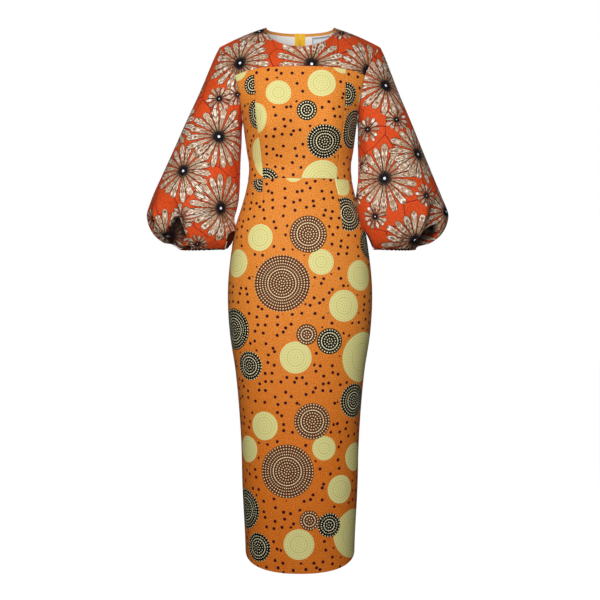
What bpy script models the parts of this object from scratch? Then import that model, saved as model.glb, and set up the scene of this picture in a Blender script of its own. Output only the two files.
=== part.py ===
"""A long fitted dress with lantern sleeves, as worn but with no wearer: walls of cloth round open hollows.

Metres, +Z up, -Y the front and +X the wearer's left. z = 0 is the height of the neck ends of the shoulder
seams, and x = y = 0 lies midway between them. The body is a stack of rings. The chest and back above the
underarms are rings cut off by the armholes. The shoulders are lofts from those rings to the neckline and
shoulder seams. Each sleeve is a loft from its armhole to a rolled, gathered bottom with a cuff inside it.
"""

import math
from collections import namedtuple

import bmesh
import bpy
import numpy as np

# Cloth
WALL = 0.0016
SEAM = 0.0003
LAP = 0.0008

# Heights of the main lines
WAIST = -0.368
UNDERARM = -0.227
HEM_AT_SIDES = -1.246
HEM_DIP = {"front": 0.0455, "back": 0.030}
HEM_ROUNDNESS = 0.75

# The body's rings, from below the hem to the upper chest: half width, front and back depth, squareness
Level = namedtuple("Level", "height half front back square")
LEVELS = (
    Level(-1.330, 0.1300, 0.098, 0.094, 2.30),
    Level(-1.246, 0.1308, 0.099, 0.095, 2.30),
    Level(-1.100, 0.1380, 0.102, 0.098, 2.25),
    Level(-0.980, 0.1416, 0.104, 0.099, 2.20),
    Level(-0.900, 0.1470, 0.106, 0.101, 2.20),
    Level(-0.820, 0.1550, 0.108, 0.106, 2.20),
    Level(-0.730, 0.1685, 0.110, 0.116, 2.20),
    Level(-0.620, 0.1728, 0.108, 0.131, 2.20),
    Level(-0.540, 0.1650, 0.104, 0.133, 2.20),
    Level(-0.470, 0.1530, 0.100, 0.120, 2.20),
    Level(-0.425, 0.1385, 0.096, 0.105, 2.20),
    Level(-0.368, 0.1250, 0.088, 0.083, 2.20),
    Level(-0.340, 0.1224, 0.086, 0.080, 2.20),
    Level(-0.290, 0.1286, 0.091, 0.086, 2.25),
    Level(-0.227, 0.1368, 0.101, 0.098, 2.30),
    Level(-0.170, 0.1450, 0.099, 0.106, 2.35),
    Level(-0.104, 0.1600, 0.092, 0.100, 2.40),
)

# The bust: how far out, where, and how far each swell spreads
BUST = {"push": 0.030, "out": 0.080, "height": -0.245, "across": 0.040, "above": 0.062, "below": 0.040}

# The armhole from the shoulder's tip, over the front or back, to the underarm
Edge = namedtuple("Edge", "height out depth")
ARMHOLE = {
    "front": (
        Edge(-0.0465, 0.1925, 0.000),
        Edge(-0.0600, 0.1850, 0.021),
        Edge(-0.0850, 0.1715, 0.042),
        Edge(-0.1182, 0.1555, 0.056),
        Edge(-0.1500, 0.1475, 0.058),
        Edge(-0.1830, 0.1420, 0.049),
        Edge(-0.2110, 0.1385, 0.029),
        Edge(UNDERARM, 0.1368, 0.000),
    ),
    "back": (
        Edge(-0.0465, 0.1925, 0.000),
        Edge(-0.0600, 0.1865, 0.020),
        Edge(-0.0850, 0.1755, 0.040),
        Edge(-0.1182, 0.1640, 0.056),
        Edge(-0.1500, 0.1550, 0.061),
        Edge(-0.1830, 0.1470, 0.053),
        Edge(-0.2110, 0.1400, 0.032),
        Edge(UNDERARM, 0.1368, 0.000),
    ),
}
ARMHOLE_STEPS = 20
CHEST_STEPS = 11
TIP_NORMAL = np.array([0.60, 0.0, 0.80])

# Neckline and shoulder seam
NECK_HALF = 0.0835
NECK_DEPTH = {"front": 0.078, "back": 0.064}
NECK_DROP = {"front": 0.0580, "back": 0.0040}
NECK_LEAN = {"front": (-0.86, 0.51), "back": (0.80, 0.60)}
NECK_CURVE = {"front": 1.0, "back": 0.6}
RIDGE_NORMAL = np.array([0.39, 0.0, 0.92])
SHOULDER_BOW = 0.0032
SOFTEN = 0.22
YOKE_LIFT = 0.0168
SIGN = {"front": -1.0, "back": 1.0}

# The princess seams, from the yoke to the waist
PRINCESS = ((-0.369, 0.0871), (-0.300, 0.0930), (-0.225, 0.1035), (-0.104, 0.1083))

# The back slit and the zip
SLIT = {"top": -0.870, "open": 0.0030, "half_width": 0.13}
ZIP = {"bottom": -0.520, "chain": 0.0018, "tape": 0.0127, "thick": 0.0010, "chain_proud": 0.0008}
TAPE_PROUD = 0.0030

# The back bodice's columns, and the neck trims measured in its rows and columns from the neckline
BACK_COLUMNS = 10
BACK_NECK_COLUMNS = 5
BACK_START = 0.0045
BINDING = {"top_row": 0.0, "rows": 0.55, "start": 0.72, "end": 4.60, "thick": 0.0010}
LABEL = {"top_row": 0.85, "rows": 1.70, "start": 1.35, "end": 3.45, "thick": 0.0010}

# The sleeve's rings: its outer and inner points seen from the front, and its depth to the front and back
Ring = namedtuple("Ring", "outer_x outer_z inner_x inner_z front back")
SLEEVE = (
    Ring(0.1925, -0.0465, 0.1368, UNDERARM, 0.058, 0.061),
    Ring(0.2035, -0.0690, 0.1385, -0.243, 0.062, 0.063),
    Ring(0.2195, -0.1080, 0.1390, -0.260, 0.062, 0.063),
    Ring(0.2370, -0.1520, 0.1392, -0.280, 0.062, 0.062),
    Ring(0.2560, -0.1980, 0.1394, -0.302, 0.064, 0.062),
    Ring(0.2750, -0.2440, 0.1396, -0.326, 0.068, 0.063),
    Ring(0.2940, -0.2880, 0.1402, -0.350, 0.073, 0.065),
    Ring(0.3130, -0.3300, 0.1414, -0.374, 0.079, 0.068),
    Ring(0.3320, -0.3720, 0.1430, -0.398, 0.085, 0.072),
    Ring(0.3500, -0.4120, 0.1452, -0.421, 0.091, 0.076),
    Ring(0.3625, -0.4440, 0.1500, -0.444, 0.095, 0.079),
    Ring(0.3620, -0.4620, 0.1560, -0.464, 0.095, 0.079),
    Ring(0.3555, -0.4810, 0.1612, -0.482, 0.090, 0.076),
    Ring(0.3440, -0.4990, 0.1652, -0.499, 0.082, 0.070),
    Ring(0.3270, -0.5140, 0.1695, -0.513, 0.072, 0.062),
    Ring(0.3040, -0.5260, 0.1750, -0.525, 0.061, 0.053),
    Ring(0.2850, -0.5330, 0.1810, -0.532, 0.052, 0.046),
    Ring(0.2755, -0.5240, 0.1870, -0.523, 0.045, 0.042),
    Ring(0.2745, -0.5020, 0.1880, -0.502, 0.043, 0.041),
)
SLEEVE_CENTRE_Y = -0.012
LOOP_FADES = 5

# How far each sleeve's outer and inner sides hang away from the table above, once it reaches its widest
SWING = {"left": (-0.0080, -0.0030), "right": (0.0070, 0.0030)}
WIDEST = 9
ROLL = {"starts": 8, "ends": 16, "ease": 0.55}

# The folds gathered into the cuff: where round the sleeve (0 the outer side, 90 the front), how wide, and how
# far each one is drawn straight from the side of the puff to the cuff instead of hanging round
Fold = namedtuple("Fold", "turn wide drawn")
FOLDS = {
    "left": (
        Fold(38, 36, 0.80),
        Fold(81, 30, 0.30),
        Fold(117, 30, 0.34),
        Fold(166, 36, 0.62),
        Fold(212, 34, 0.45),
        Fold(255, 36, 0.60),
        Fold(298, 34, 0.40),
        Fold(336, 30, 0.45),
    ),
    "right": (
        Fold(18, 32, 0.40),
        Fold(62, 36, 0.82),
        Fold(108, 32, 0.32),
        Fold(155, 36, 0.66),
        Fold(204, 34, 0.44),
        Fold(247, 36, 0.58),
        Fold(290, 34, 0.44),
        Fold(332, 32, 0.46),
    ),
}
CUFF = {"tall": 0.0230, "top": -0.5015, "inside": 0.0003}

# The zip's slider and pull tab, on the outside at the back of the neck
SLIDER = {"wide": 0.0060, "tall": 0.0100, "thick": 0.0016, "height": -0.0200, "clear": 0.0005}
BRIDGE = {"wide": 0.0022, "gap_tall": 0.0022, "gap_deep": 0.0018, "thick": 0.0008}
PULL = {
    "wide": 0.0062,
    "long": 0.0240,
    "thick": 0.0008,
    "bar": 0.0010,
    "window": 0.0034,
    "window_wide": 0.0034,
    "square": 0.0046,
    "neck": 0.0038,
    "tip": 0.0032,
}

COLOURS = {
    "print": (0.78, 0.36, 0.08, 1.0),
    "flowers": (0.70, 0.16, 0.05, 1.0),
    "edge": (0.74, 0.40, 0.10, 1.0),
    "zip": (0.95, 0.55, 0.08, 1.0),
    "label": (0.88, 0.87, 0.85, 1.0),
    "metal": (0.80, 0.62, 0.20, 1.0),
}


def smooth(rows, values, at):
    """A smooth curve through values at rising rows: cubic pieces with each row's mean slope."""
    rows = np.asarray(rows, float)
    values = np.asarray(values, float)
    at = np.clip(np.asarray(at, float), rows[0], rows[-1])
    slopes = np.gradient(values, rows)
    i = np.clip(np.searchsorted(rows, at, side="right") - 1, 0, len(rows) - 2)
    step = rows[i + 1] - rows[i]
    t = (at - rows[i]) / step
    start = (1 + 2 * t) * (1 - t) ** 2 * values[i] + t * (1 - t) ** 2 * step * slopes[i]
    end = t * t * (3 - 2 * t) * values[i + 1] + t * t * (t - 1) * step * slopes[i + 1]
    return start + end


def level(column, height):
    """One column of LEVELS at any height."""
    return smooth([row.height for row in LEVELS], [getattr(row, column) for row in LEVELS], height)


def bust(x, z):
    """How far the bust pushes the front out at a place."""
    spread = np.where(z > BUST["height"], BUST["above"], BUST["below"])
    rise = np.exp(-(((z - BUST["height"]) / spread) ** 2) / 2)
    across = sum(np.exp(-(((x - s * BUST["out"]) / BUST["across"]) ** 2) / 2) for s in (-1, 1))
    return BUST["push"] * rise * across


def place(side, half, depth, square, turn, z, inset):
    """Points on a ring: turn is 0 in the middle of the front or back, and a quarter turn at the side."""
    x = (half - inset) * np.sign(turn) * np.abs(np.sin(turn)) ** (2 / square)
    y = SIGN[side] * (depth - inset) * np.abs(np.cos(turn)) ** (2 / square)
    if side == "front":
        y = y - bust(x, z)
    return np.stack([x, y, z], axis=-1)


def ring(side, turn, z, inset=0.0):
    """Points on the body below the underarms."""
    turn, z = np.broadcast_arrays(turn, z)
    return place(side, level("half", z), level(side, z), level("square", z), turn, z, inset)


def turn_at(half, square, x):
    """The turn at which a ring is x from the middle."""
    return np.arcsin(np.clip((x / half) ** (square / 2), 0, 1))


def armhole(side):
    """The armhole's points from the underarm up to the shoulder's tip, on the wearer's left."""
    rows = ARMHOLE[side][::-1]
    along = np.concatenate([[0], np.cumsum([math.dist(a, b) for a, b in zip(rows, rows[1:])])])
    at = np.linspace(0, along[-1], ARMHOLE_STEPS + 1)
    x, depth, z = (smooth(along, [getattr(r, c) for r in rows], at) for c in ("out", "depth", "height"))
    return np.stack([x, SIGN[side] * np.maximum(depth, 0), z], axis=-1)


def chest(side, step, share, inset=0.0):
    """Points on the row that ends at one armhole point: share is 0 at the middle and 1 at the armhole."""
    edge = armhole(side)[step]
    lift = YOKE_LIFT * step / CHEST_STEPS
    depth = level(side, edge[2] + lift)
    square = level("square", edge[2])
    end = np.arccos(np.clip((abs(edge[1]) / depth) ** (square / 2), 0, 1))
    half = edge[0] / np.sin(end) ** (2 / square)
    turn = np.asarray(share) * end
    x = half * np.sin(np.abs(turn)) ** (2 / square)
    z = edge[2] + lift * (1 - (x / edge[0]) ** 3)
    return place(side, half, depth, square, turn, z, inset)


def share_at(side, step, x):
    """The share of a chest row at which it is x from the middle."""
    shares = np.linspace(0, 1, 200)
    return np.interp(x, chest(side, step, shares)[:, 0], shares)


def edge_normals(side):
    """The outward direction at each armhole point above the chest, for the shoulder and the sleeve."""
    last = chest(side, CHEST_STEPS, 1.0)
    first = (last - chest(side, CHEST_STEPS, 1.0, WALL)) / WALL
    blend = np.linspace(0, 1, ARMHOLE_STEPS - CHEST_STEPS + 1)[:, None]
    normals = first * (1 - blend) + TIP_NORMAL * blend
    return normals / np.linalg.norm(normals, axis=1, keepdims=True)


def top_edge(side, share, neck_share, inset=0.0):
    """The neckline up to neck_share of the way from the middle, then the shoulder seam out to its tip."""
    share = np.asarray(share)
    angle = np.clip(share / neck_share, 0, 1) * math.pi / 2
    x, y = NECK_HALF * np.sin(angle), SIGN[side] * NECK_DEPTH[side] * np.cos(angle)
    z = -NECK_DROP[side] * np.abs(np.cos(angle)) ** NECK_CURVE[side]
    neck = np.stack([x, y, z], axis=-1)
    tip = armhole(side)[-1]
    along = np.clip((share - neck_share) / (1 - neck_share), 0, 1)[:, None]
    point = neck + along * (tip - np.array([NECK_HALF, 0, 0]))
    point[:, 2] += SHOULDER_BOW * np.sin(along[:, 0] * math.pi)
    lean = np.stack([0 * x, NECK_LEAN[side][0] * np.cos(angle), NECK_LEAN[side][1] + 0 * x], axis=-1)
    turned = np.sin(angle)[:, None]
    at_neck = lean * (1 - turned) + RIDGE_NORMAL * turned
    normal = np.where(share[:, None] < neck_share, at_neck, RIDGE_NORMAL)
    normal = normal * (1 - along**4) + TIP_NORMAL * along**4
    return point - inset * normal / np.linalg.norm(normal, axis=1, keepdims=True)


def shoulder(side, shares, neck_share, inset=0.0):
    """A loft from the highest chest row to the neckline and shoulder seam, drawn to the armhole outside."""
    shares = np.asarray(shares, float)
    low = chest(side, CHEST_STEPS, shares, inset)
    high = top_edge(side, shares, neck_share, inset)
    gap = np.linalg.norm(high - low, axis=1, keepdims=True)
    over = np.clip((shares[:, None] - neck_share + SOFTEN) / (2 * SOFTEN), 0, 1)
    over = over * over * (3 - 2 * over)
    inward = -SIGN[side]
    start = gap * np.array([0.0, 0.22 * inward, 0.97])
    at_neck, at_seam = np.array([0.0, 0.50 * inward, 0.85]), np.array([0.0, 1.0 * inward, 0.25])
    end = gap * ((1 - over) * at_neck + over * at_seam)
    t = np.linspace(0, 1, ARMHOLE_STEPS - CHEST_STEPS + 1)[:, None, None]
    lower = (1 + 2 * t) * (1 - t) ** 2 * low + t * (1 - t) ** 2 * start
    upper = t * t * (3 - 2 * t) * high + t * t * (t - 1) * end
    body = lower + upper
    outer = armhole(side)[CHEST_STEPS:] - inset * edge_normals(side)
    at_edge = body[:, -1]
    return body + (outer - at_edge)[:, None, :] * (shares**3)[None, :, None]


def mirrored(grid):
    """The same grid on the wearer's other side, with its columns turned round to keep its faces outwards."""
    return grid[:, ::-1] * np.array([-1, 1, 1])


def wall(name, outer, inner, colour, round_it=False):
    """A closed wall between an outer and an inner grid; its rows run up and its columns towards +X.
    Each square is split along its shorter diagonal, the same way on both faces, to keep them apart.
    """
    rows, columns = outer.shape[:2]
    number = np.arange(rows * columns).reshape(rows, columns)
    if round_it:
        number = np.concatenate([number, number[:, :1]], axis=1)
    a, b, c, d = number[:-1, :-1], number[:-1, 1:], number[1:, 1:], number[1:, :-1]
    flat = outer.reshape(-1, 3)
    shorter = np.linalg.norm(flat[a] - flat[c], axis=-1) <= np.linalg.norm(flat[b] - flat[d], axis=-1)
    one_way = [np.stack(corners, axis=-1) for corners in ((a, b, c), (a, c, d))]
    other_way = [np.stack(corners, axis=-1) for corners in ((a, b, d), (b, c, d))]
    split = [np.where(shorter[..., None], one, two) for one, two in zip(one_way, other_way)]
    out = np.concatenate(split).reshape(-1, 3)
    other = rows * columns
    faces = [out, out[:, ::-1] + other]
    rims = [number[0], number[-1, ::-1]]
    if not round_it:
        rims += [number[::-1, 0], number[:, -1]]
    for rim in rims:
        faces.append(np.stack([rim[1:], rim[:-1], rim[:-1] + other], axis=-1))
        faces.append(np.stack([rim[1:], rim[:-1] + other, rim[1:] + other], axis=-1))
    mesh = bpy.data.meshes.new(name)
    points = np.concatenate([outer.reshape(-1, 3), inner.reshape(-1, 3)])
    mesh.from_pydata(points.tolist(), [], np.concatenate(faces).tolist())
    return finished(name, mesh, colour)


def finished(name, mesh, colour):
    """An object for a mesh: normals out, smooth shading with sharp rims, in the dress's collection."""
    shape = bmesh.new()
    shape.from_mesh(mesh)
    bmesh.ops.recalc_face_normals(shape, faces=shape.faces)
    shape.to_mesh(mesh)
    shape.free()
    mesh.shade_smooth()
    mesh.set_sharp_from_angle(angle=math.radians(40))
    made = bpy.data.objects.new(name, mesh)
    mesh.materials.append(material(colour))
    bpy.data.collections["lantern_sleeve_dress"].objects.link(made)
    return made


def material(name):
    """A plain material in one of the garment's colours."""
    made = bpy.data.materials.get(name)
    if made is None:
        made = bpy.data.materials.new(name)
        made.use_nodes = True
        shader = made.node_tree.nodes["Principled BSDF"]
        shader.inputs["Base Color"].default_value = COLOURS[name]
        shader.inputs["Roughness"].default_value = 0.35 if name == "metal" else 0.8
        shader.inputs["Metallic"].default_value = 1.0 if name == "metal" else 0.0
    return made


def hem(side, turn):
    """The hem's height, lowest at the middle and rounded up to the side seams."""
    return HEM_AT_SIDES - HEM_DIP[side] * np.abs(np.cos(turn)) ** HEM_ROUNDNESS


def skirt(side, first, last, rows, columns, inset, slit=False):
    """A skirt panel between two turns, from the curved hem up to the waist seam."""
    up = np.linspace(0, 1, rows + 1)[:, None]
    turn = np.linspace(first, last, columns + 1)[None, :]
    z = hem(side, turn) * (1 - up) + (WAIST - SEAM / 2) * up
    if slit:
        parted = SLIT["open"] * np.clip((SLIT["top"] - z[:, :1]) / (SLIT["top"] - HEM_AT_SIDES), 0, 1)
        start = first + parted / SLIT["half_width"]
        turn = start + (last - start) * (turn - first) / (last - first)
    return ring(side, turn, z, inset)


def trim(half=0.12):
    """The turn that half a seam's gap takes on a ring."""
    return SEAM / 2 / half


def make_skirt():
    """The skirt: a front in one piece, and two backs that meet at the zip and part in the slit below it."""
    quarter = math.pi / 2
    side_trim = 2 * trim()
    grids = [skirt("front", -quarter + side_trim, quarter - side_trim, 18, 16, i) for i in (0, WALL)]
    wall("skirt_front", *grids, "print")
    for name, turned in (("skirt_back_left", False), ("skirt_back_right", True)):
        grids = [back_skirt(i) for i in (0, WALL)]
        if turned:
            grids = [mirrored(g) for g in grids]
        wall(name, *grids, "print")


def bodice_rows(side, near, far, columns, inset):
    """A bodice panel from the waist to the highest chest row, between two lines given row by row."""
    heights = np.linspace(WAIST + SEAM / 2, UNDERARM, 8)[:-1]
    share = np.linspace(0, 1, columns + 1)
    rows = []
    for z in heights:
        start, end = near(z, None), far(z, None)
        rows.append(ring(side, start + (end - start) * share, z, inset))
    for step in range(CHEST_STEPS + 1):
        start, end = near(None, step), far(None, step)
        rows.append(chest(side, step, start + (end - start) * share, inset))
    return np.array(rows)


def princess(gap):
    """The princess seam moved outwards by a gap: a turn below the underarm and a share above it."""

    def line(z, step):
        if step is None:
            x = smooth(*zip(*PRINCESS), z) + gap
            return turn_at(level("half", z), level("square", z), x)
        x = smooth(*zip(*PRINCESS), armhole("front")[step][2]) + gap
        return share_at("front", step, x)

    return line


def side_line(z, step):
    """The side seam below the underarm, and the armhole above it."""
    return math.pi / 2 - 2 * trim() if step is None else 1.0


def middle_back(z, step):
    """The centre back seam."""
    return 2 * trim() if step is None else BACK_START


def make_bodice():
    """The bodice: centre front, two side fronts, a yoke, and two backs that run up to the shoulders."""
    drop = np.array([0.0, 0.0, SEAM])

    def mirror_line(z, step):
        return -princess(-SEAM / 2)(z, step)

    grids = [bodice_rows("front", mirror_line, princess(-SEAM / 2), 8, i) for i in (0, WALL)]
    wall("bodice_center_front", *grids, "print")
    grids = [bodice_rows("front", princess(SEAM / 2), side_line, 4, i) for i in (0, WALL)]
    wall("bodice_side_front_left", *grids, "print")
    wall("bodice_side_front_right", *[mirrored(g) for g in grids], "print")

    neck_columns, shoulder_columns = 6, 5
    neck_share = neck_columns / (neck_columns + shoulder_columns)
    shares = np.linspace(0, 1, neck_columns + shoulder_columns + 1)
    halves = [shoulder("front", shares, neck_share, i) for i in (0, WALL)]
    grids = [np.concatenate([mirrored(h)[:, :-1], h], axis=1) for h in halves]
    for grid in grids:
        grid[0] += drop
        grid[-1] += np.array([0.0, -SEAM, 0.0])
    wall("front_yoke", *grids, "flowers")

    for name, turned in (("back_bodice_left", False), ("back_bodice_right", True)):
        grids = [back_half(i) for i in (0, WALL)]
        if turned:
            grids = [mirrored(g) for g in grids]
        wall(name, *grids, "print")


def back_half(inset):
    """The wearer's left back bodice from the waist to the neck and shoulder seam, as one grid."""
    shares = np.linspace(middle_back(None, 0), 1, BACK_COLUMNS + 1)
    low = bodice_rows("back", middle_back, side_line, BACK_COLUMNS, inset)
    high = shoulder("back", shares, shares[BACK_NECK_COLUMNS], inset)
    return np.concatenate([low, high[1:]])


def back_skirt(inset):
    """The wearer's left back skirt as one grid."""
    return skirt("back", 2 * trim(), math.pi / 2 - 2 * trim(), 18, 8, inset, slit=True)


def strip(inset, across):
    """A strip up the centre back from the zip's foot to the neck, on the panels' own rows."""
    low, high = back_skirt(inset), back_half(inset)
    foot = np.searchsorted(low[:, 0, 2], ZIP["bottom"])
    share = (ZIP["bottom"] - low[foot - 1, 0, 2]) / (low[foot, 0, 2] - low[foot - 1, 0, 2])
    start = low[foot - 1, :2] * (1 - share) + low[foot, :2] * share
    rows = np.concatenate([start[None], low[foot:, :2], high[:, :2]])
    part = (np.asarray(across)[None, :] - rows[:, :1, 0]) / (rows[:, 1:2, 0] - rows[:, :1, 0])
    part = np.maximum(part, 0)[..., None]
    points = rows[:, :1] * (1 - part) + rows[:, 1:2] * part
    points[..., 0] = across
    return points


def lines(first, last):
    """A start, every whole number between, and an end."""
    return [first, *range(math.floor(first) + 1, math.ceil(last)), last]


def part_of(grid, rows, columns):
    """A smaller grid read from a panel's own points at fractional rows and columns."""
    for axis, places in ((0, rows), (1, columns)):
        places = np.clip(np.asarray(places, float), 0, grid.shape[axis] - 1)
        whole = np.minimum(places.astype(int), grid.shape[axis] - 2)
        share = (places - whole).reshape([-1 if k == axis else 1 for k in range(3)])
        grid = np.take(grid, whole, axis) * (1 - share) + np.take(grid, whole + 1, axis) * share
    return grid


def make_zip():
    """The zip: two tapes and a chain behind the centre back seam, a slider at the neck and its pull tab."""
    near = WALL + LAP
    far = near + ZIP["thick"]
    for name, turned in (("zip_tape_left", False), ("zip_tape_right", True)):
        grids = []
        for inset in (near, far):
            grid = strip(inset, [ZIP["chain"] + SEAM, ZIP["tape"]])
            step = grid[-1] - grid[-2]
            top = grid[-1] + TAPE_PROUD * step / np.linalg.norm(step, axis=1, keepdims=True)
            grids.append(np.concatenate([grid, top[None]]))
        if turned:
            grids = [mirrored(g) for g in grids]
        wall(name, *grids, "zip")
    across = [-ZIP["chain"], ZIP["chain"]]
    wall("zip_chain", *[strip(i, across) for i in (near, far + ZIP["chain_proud"])], "zip")
    make_slider()


def box(name, low, high):
    """A mesh box between two corners."""
    made = bpy.data.meshes.new(name)
    shape = bmesh.new()
    bmesh.ops.create_cube(shape, size=1.0)
    low, high = np.array(low), np.array(high)
    for vertex in shape.verts:
        vertex.co = tuple((low + high) / 2 + np.array(vertex.co) * (high - low))
    shape.to_mesh(made)
    shape.free()
    return made


def outline_solid(name, outline, holes, thick):
    """A flat outline in X and Z, with holes and some thickness along Y, as a mesh from a filled curve."""
    curve = bpy.data.curves.new(name, "CURVE")
    curve.dimensions = "2D"
    curve.fill_mode = "BOTH"
    curve.extrude = thick / 2
    for points in [outline, *holes]:
        spline = curve.splines.new("POLY")
        spline.points.add(len(points) - 1)
        for point, (x, y) in zip(spline.points, points):
            point.co = (x, y, 0, 1)
        spline.use_cyclic_u = True
    made = bpy.data.objects.new(name, curve)
    bpy.context.scene.collection.objects.link(made)
    bpy.context.view_layer.update()
    evaluated = made.evaluated_get(bpy.context.evaluated_depsgraph_get())
    mesh = bpy.data.meshes.new_from_object(evaluated)
    bpy.data.objects.remove(made)
    shape = bmesh.new()
    shape.from_mesh(mesh)
    bmesh.ops.remove_doubles(shape, verts=shape.verts, dist=0.00001)
    for vertex in shape.verts:
        x, y, z = vertex.co
        vertex.co = (x, z, y)
    shape.to_mesh(mesh)
    shape.free()
    return mesh


def arc(centre, radius, first, last, steps):
    """Points along an arc, angles in degrees."""
    angles = np.radians(np.linspace(first, last, steps))
    return [(centre[0] + radius * math.cos(a), centre[1] + radius * math.sin(a)) for a in angles]


def pull_axis():
    """Where the pull tab's bar turns under the slider's bridge, as y and z, and the back's slope there."""
    column = strip(0.0, [0.0])[:, 0]
    heights = SLIDER["height"] + np.array([0.0, SLIDER["tall"] / 2, -PULL["long"]])
    y = np.interp(heights, column[:, 2], column[:, 1])
    slope = math.atan2(y[2] - y[1], heights[1] - heights[2])
    out = SLIDER["clear"] + SLIDER["thick"] + BRIDGE["gap_deep"] / 2
    return y[0] + out * math.cos(slope), heights[0] + out * math.sin(slope), slope


def make_slider():
    """The slider, a plate with a bridge over the bar of the pull tab, and the tab that lies down the back."""
    axis_y, axis_z, slope = pull_axis()
    face = -BRIDGE["gap_deep"] / 2
    top = -face
    half_tall = SLIDER["tall"] / 2
    opening = BRIDGE["gap_tall"] / 2
    reach = opening + BRIDGE["thick"]
    low = (-SLIDER["wide"] / 2, face - SLIDER["thick"], -half_tall)
    plate = box("zip_slider", low, (SLIDER["wide"] / 2, face, half_tall))
    slider = finished("zip_slider", plate, "metal")
    half = BRIDGE["wide"] / 2
    join_box(slider, (-half, face - 0.0004, -reach), (half, top + BRIDGE["thick"], reach), "UNION")
    join_box(slider, (-SLIDER["wide"], face, -opening), (SLIDER["wide"], top, opening), "DIFFERENCE")

    half = PULL["wide"] / 2
    bar = PULL["bar"] / 2
    neck = PULL["neck"] / 2
    tip = arc((0, PULL["tip"] - PULL["long"]), PULL["tip"], 180, 360, 9)
    outline = [(-half, bar), (-half, -PULL["square"]), (-neck, -PULL["square"] - half + neck), *tip,
               (neck, -PULL["square"] - half + neck), (half, -PULL["square"]), (half, bar)]
    wide = PULL["window_wide"] / 2
    window = [(-wide, -bar), (wide, -bar), (wide, -PULL["window"]), (-wide, -PULL["window"])]
    tab = finished("zip_pull", outline_solid("zip_pull", outline, [window], PULL["thick"]), "metal")
    for piece in (slider, tab):
        piece.location = (0, axis_y, axis_z)
        piece.rotation_euler = (slope, 0, 0)


def join_box(target, low, high, operation):
    """Adds a box to a solid or cuts it away, with the change applied."""
    tool = bpy.data.objects.new("tool", box("tool", low, high))
    bpy.context.scene.collection.objects.link(tool)
    change = target.modifiers.new(operation, "BOOLEAN")
    change.operation = operation
    change.object = tool
    bpy.context.view_layer.update()
    evaluated = target.evaluated_get(bpy.context.evaluated_depsgraph_get())
    mesh = bpy.data.meshes.new_from_object(evaluated)
    target.modifiers.clear()
    target.data = mesh
    bpy.data.objects.remove(tool)


def make_neck_trims():
    """The binding inside the back neckline, in two halves beside the zip, and a plain label."""
    near = WALL + LAP
    for name, sizes, colour in (("neck_binding_left", BINDING, "edge"), ("neck_label", LABEL, "label")):
        grids = []
        for inset in (near, near + sizes["thick"]):
            grid = back_half(inset)
            top = len(grid) - 1 - sizes["top_row"]
            grids.append(part_of(grid, lines(top - sizes["rows"], top), lines(sizes["start"], sizes["end"])))
        wall(name, *grids, colour)
        if colour == "edge":
            wall("neck_binding_right", *[mirrored(g) for g in grids], colour)


def armhole_loop():
    """The whole armhole on the wearer's left, once round: tip, front, underarm, back."""
    front, back = armhole("front"), armhole("back")
    return np.concatenate([front[::-1], back[1:-1]])


def loop_normals():
    """The sleeve's outward direction at each point of the armhole loop."""
    down = np.array([-0.75, 0.0, -0.66])
    sides = []
    for side in ("front", "back"):
        upper = edge_normals(side)
        blend = np.linspace(0, 1, CHEST_STEPS + 1)[:-1, None]
        middle = np.array([-0.2, SIGN[side] * 0.95, -0.2])
        lower = down * (1 - blend) ** 2 + 2 * middle * blend * (1 - blend) + upper[0] * blend**2
        sides.append(np.concatenate([lower / np.linalg.norm(lower, axis=1, keepdims=True), upper]))
    front, back = sides
    return np.concatenate([front[::-1], back[1:-1]])


def sleeve_rows(side):
    """The sleeve's rings as it hangs on one side."""
    outer, inner = SWING[side]
    rows = []
    for i, row in enumerate(SLEEVE):
        share = min(i / WIDEST, 1.0) ** 1.2
        rows.append(row._replace(outer_x=row.outer_x + outer * share, inner_x=row.inner_x + inner * share))
    return rows


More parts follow.
